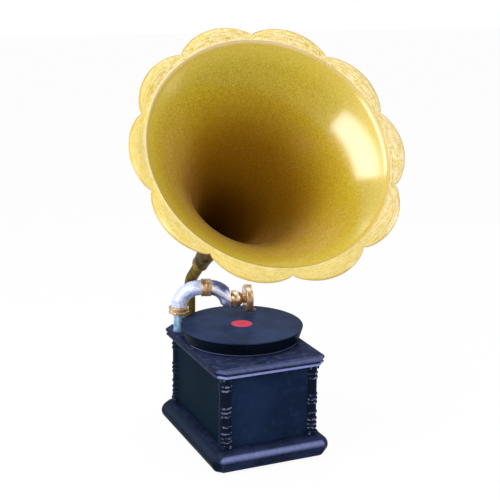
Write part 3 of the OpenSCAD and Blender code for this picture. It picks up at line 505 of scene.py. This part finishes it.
@dataclass(frozen=True)
class BellGold:
    """Satin gold paint of the bell: bronze at the neck, brown in the throat, ochre, then gold, and pale petals; the
    darkening towards the throat is partly the paint and partly painted shade.

    It reads the bell's own map, mm round the axis and mm past the seam, which passes from the face to the back at
    edge. Fine grain speckles the bowl. Inside, round the angle low from the first valley, it has a painted sheen and a
    painted reflection along the lip, and the petals there lean to a painted shade. A painted highlight lies on the
    ridge, palest round the angle high, and round the angle top the coat is thinnest. Brushstrokes cross the
    petals, which have a thin darker edge.
    """

    name: str = "horn_gold"
    seam_r: float = 209.0
    edge: float = 37.0
    low: float = 2.5
    low_mark: Mark = Mark(-0.4, 0.5)
    high: float = 0.9
    high_mark: Mark = Mark(-0.2, 0.6, 0.35)
    top: float = 0.2
    top_mark: Mark = Mark(0.1, 0.8, 0.55)

    neck: Triple = (82, 68, 18)
    neck_dark: Triple = (44, 34, 6)
    neck_grain: Grain = Grain(16, 3)
    neck_mark: Mark = Mark(0.4, 0.62)
    # brown and ochre towards the throat: partly the paint, partly painted shade deep in the horn
    throat: Triple = (116, 74, 6)
    throat_mark: Mark = Mark(-500, -430)
    cloud: Grain = Grain(60, 3)
    cloud_stray: float = 60.0
    deep: Triple = (170, 124, 14)
    deep_mark: Mark = Mark(-400, -220)
    bowl: Triple = (190, 167, 32)
    bowl_mark: Mark = Mark(-240, -20)

    # painted sheen: a paler warm tone inside on the low side
    low_sheen: Triple = (204, 162, 88)
    low_sheen_at: Stripe = Stripe(-290, -70, 60, 0.65)
    wisp: Grain = Grain(40, 3, (1, 4, 1))
    wisp_mark: Mark = Mark(0.25, 0.6)
    # painted reflection along the lip of the throat
    lip_sheen: Triple = (238, 218, 226)
    lip: Pair = (-324, 190)
    lip_at: Stripe = Stripe(-6, 10, 18, 0.7)
    lip_mark: Mark = Mark(0.5, 0.85)
    grain_mark: Mark = Mark(-420, -200)
    coarse: Grain = Grain(3)
    coarse_mark: Mark = Mark(0.58, 0.34, 0.3)
    coarse_rough: float = 0.25
    speck: Triple = (242, 222, 134)
    fine: Grain = Grain(1.5, 1)
    fine_mark: Mark = Mark(0.56, 0.7, 0.25)
    fine_relief: float = 0.3

    petal: Triple = (228, 200, 96)
    seam_mark: Mark = Mark(-50, 2, 0.4)
    petal_mark: Mark = Mark(0, 5)
    pale: Triple = (254, 242, 210)
    streak: Grain = Grain(14, 4, (0.8, 5, 1))
    streak_pale: Mark = Mark(0.46, 0.66, 0.8)
    streak_dark: Mark = Mark(0.52, 0.36, 0.7)
    hatch: Grain = Grain(9, 2, (3, 0.8, 1))
    hatch_mark: Mark = Mark(0.5, 0.6, 0.45)
    peach: Triple = (240, 206, 150)
    peach_grain: Grain = Grain(38)
    peach_mark: Mark = Mark(0.42, 0.62, 0.3)
    # painted shade on the petals of the low side
    straw_shade: Triple = (220, 194, 66)
    straw_shade_share: float = 0.55
    rim: Triple = (186, 146, 50)
    rim_mark: Mark = Mark(32, 35, 0.7)
    # painted highlight on the ridge, palest round the angle high
    ridge: Triple = (250, 228, 196)
    ridge_highlight: Stripe = Stripe(-1, 2, 6)
    highlight_least: float = 0.25

    rough: float = 0.36
    relief: float = 0.1
    gloss: float = 0.02
    metal_mark: Mark = Mark(-430, -300, 0.1)
    coat: float = 0.75
    coat_mark: Mark = Mark(-400, -120)
    coat_rough: float = 0.16
    coat_ior: float = 1.9

    def bowl_paint(self, s: Skin, past: Wire, turn: Wire, low_side: Wire, inside: Wire) -> Wire:
        """Colour from the neck to the mouth, with painted shade towards the throat, a painted sheen on the low side
        and a painted reflection along the lip.

        The lip lies where past is the first number of lip plus the second times the cosine of the angle from low.

        Args:
            s: The skin.
            past: Way past the seam, in mm.
            turn: Angle from the first valley, in radians.
            low_side: 1 inside on the side of low.
            inside: 1 on the face and 0 on the back.

        Returns:
            The colour, without its grain.
        """
        far = past + s.swing(s.noise(self.cloud), self.cloud_stray)
        neck = s.mix(s.mark(s.noise(self.neck_grain), self.neck_mark), linear(self.neck), linear(self.neck_dark))
        # towards the throat: partly the paint's own gradient, partly painted shade
        colour = s.mix(s.mark(past, self.throat_mark), neck, linear(self.throat))
        colour = s.mix(s.mark(far, self.deep_mark), colour, linear(self.deep))
        colour = s.mix(s.mark(far, self.bowl_mark), colour, linear(self.bowl))
        wisp = s.mark(s.noise(self.wisp, s.map()), self.wisp_mark)
        # painted sheen inside on the low side
        colour = s.mix(low_side * s.stripe(past, self.low_sheen_at) * wisp, colour, linear(self.low_sheen))
        # painted reflection: a pearly line along the throat's lip on the low side
        off_low = s.math("COSINE", turn - self.low)
        middle, reach = self.lip
        lip = s.stripe(past - middle - off_low * reach, self.lip_at) * s.mark(off_low, self.lip_mark) * inside
        return s.mix(lip, colour, linear(self.lip_sheen))

    def petal_paint(self, s: Skin, past: Wire, streak: Wire, low_side: Wire) -> Wire:
        """Colour of the petals, with their brushstrokes, their thin darker edge and a painted shade on the low side.

        Args:
            s: The skin.
            past: Way past the seam, in mm.
            streak: The noise of the strokes.
            low_side: 1 inside on the side of low.

        Returns:
            The colour.
        """
        hatch = s.noise(self.hatch, s.map())
        petal = s.mix(s.mark(streak, self.streak_pale), linear(self.petal), linear(self.pale))
        petal = s.mix(s.mark(streak, self.streak_dark), petal, linear(self.bowl))
        petal = s.mix(s.mark(hatch, self.hatch_mark), petal, linear(self.pale))
        petal = s.mix(s.mark(s.noise(self.peach_grain), self.peach_mark), petal, linear(self.peach))
        # painted shade: the petals of the low side lean to straw
        petal = s.mix(low_side * self.straw_shade_share, petal, linear(self.straw_shade))
        return s.mix(s.mark(past, self.rim_mark), petal, linear(self.rim))

    def make(self) -> bpy.types.Material:
        """Builds the material.

        Returns:
            The material.
        """
        s = Skin(self.name)
        around, way, _ = s.parts(s.map())
        past = s.math("MINIMUM", way, 2 * self.edge - way)
        inside = s.rise(way, self.edge + 1, self.edge)
        turn = around * (1 / self.seam_r)
        low_side = s.facing(turn, self.low, self.low_mark) * inside
        colour = self.bowl_paint(s, past, turn, low_side, inside)
        coarse, fine = s.noise(self.coarse), s.noise(self.fine)
        grain = s.mark(past, self.grain_mark)
        colour = s.mix(s.mark(coarse, self.coarse_mark) * grain, colour, linear(self.throat))
        colour = s.mix(s.mark(fine, self.fine_mark) * grain, colour, linear(self.speck))
        colour = s.mix(s.mark(past, self.seam_mark), colour, linear(self.petal))
        on_petal = s.mark(past, self.petal_mark)
        streak = s.noise(self.streak, s.map())
        colour = s.mix(on_petal, colour, self.petal_paint(s, past, streak, low_side))
        # painted highlight on the ridge, palest round the angle high
        pale_share = s.facing(turn, self.high, self.high_mark) + self.highlight_least
        colour = s.mix(s.stripe(past, self.ridge_highlight) * pale_share, colour, linear(self.ridge))
        relief = coarse + fine * self.fine_relief + streak * on_petal
        s.paint(colour, s.swing(coarse, self.coarse_rough) + self.rough, relief, self.relief)
        s.set(gloss=self.gloss, coat_rough=self.coat_rough, coat_ior=self.coat_ior)
        s.feed(s.shader.inputs["Metallic"], s.mark(past, self.metal_mark))
        coat = self.coat - s.facing(turn, self.top, self.top_mark)
        s.feed(s.shader.inputs["Coat Weight"], s.mark(past, self.coat_mark) * coat)
        return s.material


@dataclass(frozen=True)
class Metal:
    """Bare metal with the marks its tool left: fine lines where ground, rings where turned, pits where cast."""

    name: str
    colour: Triple
    dull: Triple
    marks: Marks = Marks.GROUND
    rough: float = 0.3
    stain: Grain = Grain(18, 3)
    stain_mark: Mark = Mark(0.4, 0.7, 0.7)
    stain_rough: float = 0.2
    line: float = 2.2
    line_rough: float = 0.2
    relief: float = 0.03

    def make(self) -> bpy.types.Material:
        """Builds the material.

        Returns:
            The material.
        """
        s = Skin(self.name)
        stain = s.noise(self.stain)
        lines = s.noise(Grain(self.line, 2, self.marks.value))
        colour = s.mix(s.mark(stain, self.stain_mark), linear(self.colour), linear(self.dull))
        rough = s.swing(stain, self.stain_rough) + s.swing(lines, self.line_rough) + self.rough
        s.paint(colour, rough, lines, self.relief)
        s.set(metal=1.0)
        return s.material


@dataclass(frozen=True)
class Pressed:
    """Pressed record: fine grooves round the spindle, a plain lead-in and run-out, and a cloudy lustre.

    The groove is a sine of the distance from the spindle.
    """

    name: str = "record_black"
    colour: Triple = (30, 43, 72)
    cloud: Triple = (44, 60, 96)
    centre: Pair = (4, 13.5)
    played: Stripe = Stripe(50, 120)
    pitch: float = 1.1
    cloud_grain: Grain = Grain(70, 3)
    cloud_mark: Mark = Mark(0.38, 0.68)
    cloud_rough: float = 0.2
    blotch: Grain = Grain(8, 3, (1, 3, 1))
    rub_mark: Mark = Mark(0.55, 0.8, 0.25)
    groove_rough: float = 0.02
    groove_relief: float = 0.5
    rub_relief: float = 0.5
    relief: float = 0.02
    rough: float = 0.44
    gloss: float = 0.02

    def make(self) -> bpy.types.Material:
        """Builds the material.

        Returns:
            The material.
        """
        s = Skin(self.name)
        out = s.from_axis(*self.centre)
        cloud = s.noise(self.cloud_grain)
        pale_share = s.noise(self.blotch)
        groove = s.math("SINE", out * (2 * math.pi / self.pitch)) * s.stripe(out, self.played)
        colour = s.mix(s.mark(cloud, self.cloud_mark), linear(self.colour), linear(self.cloud))
        colour = s.mix(s.mark(pale_share, self.rub_mark), colour, linear(self.cloud))
        rough = s.swing(cloud, self.cloud_rough) + groove * self.groove_rough + self.rough
        s.paint(colour, rough, groove * self.groove_relief + pale_share * self.rub_relief, self.relief)
        s.set(gloss=self.gloss)
        return s.material


@dataclass(frozen=True)
class Timber:
    """Wood with its grain along one axis: the rings are a sine of noise stretched along the grain."""

    name: str
    early: Triple
    late: Triple
    stretch: Triple = (1, 0.06, 1)
    rough: float = 0.55
    gloss: float = 0.3
    ring: float = 30.0
    ring_turns: float = 60.0
    ring_rough: float = 0.1
    ring_relief: float = 0.4
    pore: float = 1.2
    pore_mark: Mark = Mark(0.6, 0.72, 0.5)
    relief: float = 0.08

    def make(self) -> bpy.types.Material:
        """Builds the material.

        Returns:
            The material.
        """
        s = Skin(self.name)
        rings = s.math("SINE", s.noise(Grain(self.ring, 2, self.stretch)) * self.ring_turns) * 0.5 + 0.5
        pores = s.noise(Grain(self.pore, 2, self.stretch))
        colour = s.mix(rings, linear(self.early), linear(self.late))
        colour = s.mix(s.mark(pores, self.pore_mark), colour, linear(self.late))
        s.paint(colour, rings * self.ring_rough + self.rough, rings * self.ring_relief + pores, self.relief)
        s.set(gloss=self.gloss)
        return s.material


@dataclass(frozen=True)
class Soft:
    """Felt, rubber, paper or mica: one colour with fine fibre or dust in it."""

    name: str
    colour: Triple
    fibre: Triple
    size: float = 0.8
    rough: float = 0.9
    depth: float = 0.15
    gloss: float = 0.2
    fibre_mark: Mark = Mark(0.4, 0.65, 0.6)
    fibre_rough: float = 0.1
    cloud: Grain = Grain(15)
    cloud_mark: Mark = Mark(0.45, 0.7, 0.25)

    def make(self) -> bpy.types.Material:
        """Builds the material.

        Returns:
            The material.
        """
        s = Skin(self.name)
        fibre = s.noise(Grain(self.size, 3))
        colour = s.mix(s.mark(fibre, self.fibre_mark), linear(self.colour), linear(self.fibre))
        colour = s.mix(s.mark(s.noise(self.cloud), self.cloud_mark), colour, linear(self.fibre))
        s.paint(colour, s.swing(fibre, self.fibre_rough) + self.rough, fibre, self.depth)
        s.set(gloss=self.gloss)
        return s.material


LEVER_STEEL = Metal("lever_steel", (196, 197, 202), (146, 146, 150), rough=0.22)


@dataclass
class Shelf:
    """Keeps one material of each name."""

    made: dict[str, bpy.types.Material] = field(default_factory=dict)

    def take(self, finish: Finish) -> bpy.types.Material:
        """The material of a finish, made the first time it is asked for.

        Args:
            finish: The finish.

        Returns:
            Its material.
        """
        if finish.name not in self.made:
            self.made[finish.name] = finish.make()
        return self.made[finish.name]


@dataclass
class Assembly:
    """Nodes of the frame that belong together."""

    shelf: Shelf

    def finishes(self) -> dict[Finish, tuple[str, ...]]:
        """The nodes that each finish covers."""
        return {}

    def dress(self) -> None:
        """Puts each node's finish on it."""
        for finish, nodes in self.finishes().items():
            for name in nodes:
                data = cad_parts[name].data
                data.materials.clear()
                data.materials.append(self.shelf.take(finish))
                log.info("%s: %s in %s", type(self).__name__.lower(), name, finish.name)


@dataclass
class Case(Assembly):
    """Plinth, columns, panels and top board, the horn's bracket and the crank's escutcheon."""

    # painted highlights: heights of the pale bands on the board's bead and roll and on the plinth's nose
    bead: Stripe = Stripe(195.0, 198.6)
    roll: Stripe = Stripe(205.5, 210.0, share=0.3)
    nose: Stripe = Stripe(33.0, 37.0, soft=9, share=0.65)

    def finishes(self) -> dict[Finish, tuple[str, ...]]:
        """The nodes that each finish covers.

        Returns:
            Finish to names of nodes.
        """
        # left= gives the left side a painted shade
        board = Enamel("board_enamel", (42, 52, 84), (28, 38, 66), (88, 94, 136), rough=0.4, gloss=0.01,
                       bands=(self.bead, self.roll), front=141, left=116, left_shade=(22, 28, 42))
        plinth = Enamel("case_enamel", (30, 40, 68), (20, 28, 50), (48, 56, 90), rough=0.42, gloss=0.01,
                        bands=(self.nose,), front=158, left=112)
        panel = Enamel("panel_enamel", (26, 41, 70), (20, 33, 57), (32, 48, 78), rough=0.45, gloss=0.005,
                       patch=Grain(120, 3), stroke=Grain(14, 3), left=92)
        bracket = Enamel("bracket_enamel", (30, 38, 62), (20, 26, 46), (60, 68, 100), rough=0.4, peel=0.1)
        return {
            board: ("motor_board",),
            plinth: ("plinth_frame",),
            panel: ("front_panel", "back_panel", "left_panel", "right_panel"),
            ColumnEnamel(): ("corner_columns",),
            bracket: ("horn_bracket", "shaft_bracket"),
            Timber("raw_wood", (176, 138, 92), (132, 94, 56)): ("bottom_board", "sound_duct"),
            Metal("screw_steel", (205, 204, 200), (150, 146, 138)): ("base_screws", "bracket_screws"),
            Metal("escutcheon_brass", (214, 176, 98), (150, 112, 52), Marks.TURNED): ("crank_escutcheon",),
        }


@dataclass
class Turntable(Assembly):
    """Platter, felt, record and label, with the spindle that carries them."""

    # painted highlight: a pale line low on the platter's skirt; the tip band is the spindle's red tip
    skirt: Stripe = Stripe(213.6, 215.2, share=0.35)
    tip: Stripe = Stripe(240.0, 260.0)

    def finishes(self) -> dict[Finish, tuple[str, ...]]:
        """The nodes that each finish covers.

        Returns:
            Finish to names of nodes.
        """
        platter = Enamel("platter_enamel", (11, 19, 31), (8, 13, 22), (20, 28, 44), gloss=0.01, bands=(self.skirt,))
        spindle = Enamel("spindle_steel", (176, 178, 184), (128, 128, 132), (210, 211, 214), band_colour=(208, 64, 80),
                         bands=(self.tip,), front=-40, metal=0.9)
        label = Soft("label_red", (214, 70, 96), (192, 56, 78), size=1.5, rough=0.6, depth=0.02)
        return {
            platter: ("turntable",),
            Soft("felt", (26, 30, 44), (48, 54, 74)): ("turntable_felt",),
            Pressed(): ("record",),
            label: ("record_label",),
            spindle: ("spindle",),
        }


@dataclass
class Tonearm(Assembly):
    """Pedestal, collar, both tubes with their ring, and the knuckle."""

    pivot: Pair = (-98, 109)

    def finishes(self) -> dict[Finish, tuple[str, ...]]:
        """The nodes that each finish covers.

        Returns:
            Finish to names of nodes.
        """
        rear = Lustre("arm_enamel", (206, 218, 252), (148, 162, 222), (246, 250, 255), patch=16, coat=0.25)
        # painted highlight and painted shade along the front tube's outer bend
        front = Lustre("arm_end_enamel", (128, 140, 196), (76, 86, 146), (246, 248, 255), patch=16, coat=0.25,
                       bend=(*self.pivot, 0.6, 1), highlight_at=Stripe(344, 351, 5, 0.85), shade_at=Mark(354, 360, 0.9))
        foot = Lustre("foot_enamel", (128, 168, 206), (84, 118, 162), (190, 218, 236), streak=(2, 2, 0.6))
        gilt = Lustre("arm_gilt", (176, 142, 102), (92, 68, 38), (240, 212, 182), patch=20, metal=0.4)
        # painted highlight on the rim of the cup
        cup = Lustre("cup_gilt", (206, 174, 130), (86, 48, 20), (255, 240, 226), rough=0.2, metal=0.7,
                     bend=(*self.pivot, 1, 0), highlight_at=Stripe(96, 107.5, 0.6, 0.85))
        knuckle = Lustre("knuckle_gilt", (206, 174, 126), (80, 42, 16), (252, 236, 210), rough=0.18, metal=0.8)
        return {
            rear: ("arm_rear_tube",),
            front: ("arm_front_tube",),
            foot: ("arm_pedestal",),
            gilt: ("arm_collar", "arm_ring"),
            cup: ("knuckle_cup",),
            knuckle: ("knuckle_ball",),
            Metal("pin_steel", (205, 196, 180), (150, 138, 116)): ("knuckle_pin",),
        }


@dataclass
class Soundbox(Assembly):
    """Shells, diaphragm and stylus bar with its needle."""

    def finishes(self) -> dict[Finish, tuple[str, ...]]:
        """The nodes that each finish covers.

        Returns:
            Finish to names of nodes.
        """
        shell = Lustre("soundbox_gilt", (182, 148, 110), (92, 56, 30), (244, 222, 196), patch=20, rough=0.24,
                       metal=0.6)
        mica = Soft("mica", (226, 216, 196), (196, 182, 150), size=6, rough=0.2, depth=0.02, gloss=0.6)
        stylus = Metal("stylus_steel", (150, 132, 104), (104, 88, 64), rough=0.35)
        return {
            shell: ("soundbox_back", "soundbox_front"),
            Soft("gasket_rubber", (28, 26, 26), (52, 50, 50), rough=0.8): ("soundbox_gaskets",),
            mica: ("diaphragm",),
            stylus: ("stylus_bar", "soundbox_screws", "needle_screw"),
            Metal("needle_steel", (215, 216, 220), (170, 172, 178), rough=0.2): ("needle",),
        }


@dataclass
class Horn(Assembly):
    """Pipe and collar, and the bell with its ridge and its ten petals as one sheet of metal."""

    cross: Triple = (-45.7, 182.2, 293)
    turn: float = -5.1
    lift: float = 35.9
    start: float = 118
    length: float = 504
    throat_r: float = 15
    bowl_r: float = 209
    flare: float = 0.0056
    shoulder: Triple = (20, 300, 120)
    valley_r: float = 220
    petal_r: float = 238.7
    petals: int = 10
    valley_turn: float = 88
    lobe_power: float = 0.7
    rim_rise: Pair = (1.5, 2)
    rim_curl: float = 78
    rim_way: float = 36
    dome: float = 3.5
    ridge: Triple = (2.2, 0.5, 4.5)
    ridge_lean: float = 25
    wall: float = 1.5
    around: int = 360
    bowl_rows: int = 64
    bowl_crowding: float = 1.5
    rim_rows: int = 26

    def finishes(self) -> dict[Finish, tuple[str, ...]]:
        """The nodes that each finish covers.

        Returns:
            Finish to names of nodes.
        """
        bronze = Lustre("pipe_bronze", (102, 88, 36), (46, 38, 10), (168, 136, 76), patch=18, streak=(1, 1, 1),
                        streak_mark=Mark(0.5, 0.68, 0.5), coat=0.02, metal=0.05, gloss=0.0, rough=0.32)
        return {bronze: ("horn_pipe", "pipe_collar"), BellGold(): ("horn_bowl", "horn_petals")}

    def bowl_at(self, t: np.ndarray) -> np.ndarray:
        """Radius of the bowl at a distance along the axis.

        Throat radius plus a scaled exponential of the distance, less one, plus a bell curve for the shoulder.

        Args:
            t: Distances in mm.

        Returns:
            Radii in mm.
        """
        scale = (self.bowl_r - self.throat_r) / math.expm1(self.flare * self.length)
        height, middle, width = self.shoulder
        return self.throat_r + scale * np.expm1(self.flare * t) + height * np.exp(-((t - middle) / width) ** 2)

    def face(self) -> tuple[np.ndarray, np.ndarray, np.ndarray]:
        """The face that the listener sees.

        The bowl follows bowl_at. The rim runs from the bowl's mouth to the scalloped edge, whose radius is the
        valley's plus the petal's share times a power of a rectified sine. Its height is a sine of the way across,
        plus a dome that is highest in the middle of a petal.

        Returns:
            Radius and height, rows by columns, and the angle of each column.
        """
        valley = np.radians(self.valley_turn)
        angle = valley + np.linspace(0, 2 * np.pi, self.around, endpoint=False)
        lobe = np.abs(np.sin(self.petals / 2 * (angle - valley))) ** self.lobe_power
        t = self.length * (1 - (1 - np.linspace(0, 1, self.bowl_rows)) ** self.bowl_crowding)
        u = np.linspace(0, 1, self.rim_rows + 1)[1:, None]
        edge = self.valley_r + (self.petal_r - self.valley_r) * lobe
        curl = np.radians(self.rim_curl)
        rise = (self.rim_rise[0] + self.rim_rise[1] * lobe ** 2) * np.sin(curl * u) / math.sin(curl)
        dome = self.dome * lobe ** 2 * np.sin(np.pi * u)
        bowl = np.repeat(self.bowl_at(t)[:, None], self.around, 1)
        radius = np.vstack([bowl, self.bowl_r + (edge - self.bowl_r) * u])
        height = np.vstack([np.repeat(t[:, None], self.around, 1), self.length + rise + dome])
        return radius, height, angle

    def shell(self) -> tuple[np.ndarray, np.ndarray]:
        """Face, rolled edge and back as one grid that closes on itself.

        A ridge, a bell curve of the way along, stands on the seam between bowl and rim and leans inwards. The
        back is the face moved by the wall along the sheet's normal in the plane of the axis.

        Returns:
            Points in mm in the row frame, and the way along the face past the seam in mm, rows by columns.
        """
        r, z, angle = self.face()
        dr, dz = np.gradient(r, axis=0), np.gradient(z, axis=0)
        size = np.hypot(dr, dz)
        dr, dz = dr / size, dz / size
        along = np.cumsum(np.hypot(np.diff(r, axis=0, prepend=r[:1]), np.diff(z, axis=0, prepend=z[:1])), axis=0)
        past = along - along[self.bowl_rows - 1]
        height, middle, width = self.ridge
        ridge = height * np.exp(-((past - middle) / width) ** 2)
        lean = math.radians(self.ridge_lean)
        r, z = r - math.sin(lean) * ridge, z + math.cos(lean) * ridge
        back_r, back_z = r + dz * self.wall, z - dr * self.wall
        roll_r = (r[-1:] + back_r[-1:] + dr[-1:] * self.wall) / 2
        roll_z = (z[-1:] + back_z[-1:] + dz[-1:] * self.wall) / 2
        ring_r = np.vstack([r, roll_r, back_r[::-1]])
        ring_z = np.vstack([z, roll_z, back_z[::-1]]) + self.start
        local = np.stack([ring_r * np.cos(angle), ring_r * np.sin(angle), ring_z], -1)
        turn = Matrix.Rotation(math.radians(self.turn), 3, "Z") @ Matrix.Rotation(math.radians(90 - self.lift), 3, "X")
        return local @ np.array(turn).T + np.array(self.cross), past

    def unrolled(self, past: np.ndarray) -> np.ndarray:
        """The bell's own map: metres round the axis, and metres past the seam.

        The rim counts rim_way from the seam to its edge, whatever the lobe, and the back counts on from there.

        Args:
            past: Way along the face past the seam in mm, rows by columns.

        Returns:
            The map, with one row and one column more than the shell has points, which close it.
        """
        share = np.linspace(0, self.rim_way, self.rim_rows + 1)[1:, None]
        past = np.vstack([past[:self.bowl_rows], np.repeat(share, self.around, 1)])
        edge = self.rim_way + 1
        way = np.vstack([past, past[-1:] + 1, 2 * edge - past[::-1], 2 * edge - past[:1]])
        way = np.hstack([way, way[:, :1]])
        turns = np.linspace(0, 2 * np.pi * self.bowl_r, self.around + 1)
        return np.stack([np.broadcast_to(turns, way.shape), way], -1) * MM

    def build_bell(self) -> None:
        """Makes the bell, which stands for the bowl and the petals of the frame."""
        points, past = self.shell()
        own_map = self.unrolled(past)
        rows, columns, _ = points.shape
        j, i = np.meshgrid(np.arange(rows), np.arange(columns), indexing="ij")
        below, right = (j + 1) % rows, (i + 1) % columns
        quads = np.stack([j * columns + i, j * columns + right, below * columns + right, below * columns + i], -1)
        corners = np.stack([own_map[:-1, :-1], own_map[:-1, 1:], own_map[1:, 1:], own_map[1:, :-1]], 2)
        mesh = bpy.data.meshes.new("bell")
        mesh.vertices.add(rows * columns)
        mesh.vertices.foreach_set("co", (points * MM).astype(np.float32).ravel())
        mesh.loops.add(quads.size)
        mesh.loops.foreach_set("vertex_index", quads.ravel().astype(np.int32))
        mesh.polygons.add(quads.size // 4)
        mesh.polygons.foreach_set("loop_start", np.arange(0, quads.size, 4, dtype=np.int32))
        mesh.polygons.foreach_set("use_smooth", np.ones(quads.size // 4, dtype=bool))
        mesh.uv_layers.new(name="map").data.foreach_set("uv", corners.astype(np.float32).ravel())
        mesh.update(calc_edges=True)
        mesh.materials.append(self.shelf.take(BellGold()))
        bell = bpy.data.objects.new("bell", mesh)
        bpy.context.scene.collection.objects.link(bell)
        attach(bell, "horn")
        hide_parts("horn_bowl", "horn_petals")
        log.info("horn: bell of %d faces", len(mesh.polygons))


@dataclass
class Motor(Assembly):
    """Plates, spring barrel, train and governor, with the winding shaft and its crank."""

    def finishes(self) -> dict[Finish, tuple[str, ...]]:
        """The nodes that each finish covers.

        Returns:
            Finish to names of nodes.
        """
        plate = Metal("plate_steel", (170, 172, 178), (122, 122, 126), Marks.CAST)
        steel = Metal("motor_steel", (176, 178, 184), (128, 128, 132))
        brass = Metal("gear_brass", (218, 182, 104), (168, 128, 60), Marks.TURNED)
        knob = Timber("knob_wood", (46, 28, 20), (24, 14, 10), stretch=(1, 0.1, 1), rough=0.3, gloss=0.5)
        return {
            plate: ("motor_top_plate", "motor_bottom_plate"),
            steel: ("motor_pillars", "motor_bolts", "winding_arbor", "winding_shaft", "governor_shaft"),
            brass: ("intermediate_gear", "spring_barrel", "barrel_lid"),
            Metal("spring_steel", (70, 84, 120), (48, 52, 66), rough=0.35): ("mainspring",),
            Metal("weight_steel", (150, 140, 120), (96, 88, 74)): ("governor_weights",),
            LEVER_STEEL: ("crank",),
            knob: ("crank_knob",),
        }


@dataclass
class Controls(Assembly):
    """Brake, speed control and the governor's pad lever."""

    def finishes(self) -> dict[Finish, tuple[str, ...]]:
        """The nodes that each finish covers."""
        return {LEVER_STEEL: ("brake_lever", "speed_lever", "governor_lever")}


@dataclass(frozen=True)
class Lamp:
    """A soft box: its place and its width and height in mm, its watts, and its roll about its beam in degrees."""

    name: str
    spot: Triple
    size: Pair
    power: float
    roll: float = 0.0


@dataclass
class Studio:
    """Camera, lamps, surroundings and floor."""

    eye: Triple = (-858.3, -1969.6, 964.0)
    back: Triple = (-0.392, -0.8844, 0.2535)
    right: Triple = (0.9152, -0.403, 0.0093)
    lens: float = 80.14
    aim: Triple = (-50, -100, 450)
    surround: float = 0.55
    lamps: tuple[Lamp, ...] = (
        Lamp("left", (-1738, -401, 1450), (1960, 570), 27, 127),
        Lamp("key", (-1500, -2000, 2100), (1300, 1300), 13),
        Lamp("fill", (2200, -1600, 1200), (1600, 1600), 20),
        Lamp("top", (200, 500, 2600), (1600, 1600), 12),
    )
    floor_reach: float = 12000
    floor_drop: float = 0.5
    floor_tone: float = 0.94
    floor_rough: float = 0.9
    floor_white: float = 0.95

    def camera(self) -> None:
        """The camera of the photograph, from its fitted place and axes."""
        back = Vector(self.back).normalized()
        right = Vector(self.right)
        right = (right - right.dot(back) * back).normalized()
        data = bpy.data.cameras.new("camera")
        data.lens, data.sensor_width = self.lens, SENSOR
        made = bpy.data.objects.new("camera", data)
        axes = Matrix((right, back.cross(right), back)).transposed().to_4x4()
        made.matrix_world = Matrix.Translation(Vector(self.eye) * MM) @ axes
        bpy.context.scene.collection.objects.link(made)
        bpy.context.scene.camera = made

    def light(self, lamp: Lamp) -> None:
        """Hangs a lamp so that it points at the gramophone.

        Args:
            lamp: The lamp.
        """
        data = bpy.data.lights.new(lamp.name, "AREA")
        data.shape, data.energy = "RECTANGLE", lamp.power
        data.size, data.size_y = lamp.size[0] * MM, lamp.size[1] * MM
        made = bpy.data.objects.new(lamp.name, data)
        made.location = Vector(lamp.spot) * MM
        look = (Vector(self.aim) - Vector(lamp.spot)).to_track_quat("-Z", "Y").to_matrix()
        made.rotation_euler = (look @ Matrix.Rotation(math.radians(lamp.roll), 3, "Z")).to_euler()
        bpy.context.scene.collection.objects.link(made)

    def world(self) -> None:
        """White to the camera and in reflections, and a softer white light elsewhere."""
        world = bpy.data.worlds.new("studio")
        world.use_nodes = True
        b = Bench(world.node_tree)
        seen = b.seen("Is Camera Ray", "Is Glossy Ray", "Is Transmission Ray")
        strength = seen * (1 - self.surround) + self.surround
        light = b.node("ShaderNodeBackground", inputs={"Color": WHITE, "Strength": strength})
        b.node("ShaderNodeOutputWorld", inputs={0: light.outputs[0]})
        bpy.context.scene.world = world

    def floor(self) -> None:
        """A pale floor that keeps the shadow, partly its own white to the camera and partly lit."""
        side, under = self.floor_reach * MM, -self.floor_drop * MM
        mesh = bpy.data.meshes.new("floor")
        mesh.from_pydata([(-side, -side, under), (side, -side, under), (side, side, under), (-side, side, under)],
                         [], [(0, 1, 2, 3)])
        made = bpy.data.objects.new("floor", mesh)
        bpy.context.scene.collection.objects.link(made)
        s = Skin("floor")
        s.shader.inputs["Base Color"].default_value = (self.floor_tone, self.floor_tone, self.floor_tone, 1)
        s.shader.inputs["Roughness"].default_value = self.floor_rough
        glow = s.node("ShaderNodeEmission")
        share = s.seen("Is Camera Ray", "Is Glossy Ray") * self.floor_white
        blend = s.node("ShaderNodeMixShader", inputs={0: share, 1: s.shader.outputs[0], 2: glow.outputs[0]})
        s.feed(s.end.inputs["Surface"], blend.outputs[0])
        mesh.materials.append(s.material)

    def build(self) -> None:
        """Sets the whole studio up."""
        bpy.context.scene.view_settings.view_transform = "Standard"
        self.camera()
        self.world()
        self.floor()
        for lamp in self.lamps:
            self.light(lamp)
        log.info("studio ready")


def main() -> None:
    """Builds the gramophone's looks in order."""
    logging.basicConfig(level=logging.INFO, format="%(message)s")
    Studio().build()
    shelf = Shelf()
    horn = Horn(shelf)
    for group in (Case(shelf), Turntable(shelf), Tonearm(shelf), Soundbox(shelf), horn, Motor(shelf), Controls(shelf)):
        group.dress()
    horn.build_bell()


if __name__ == "__main__":
    main()
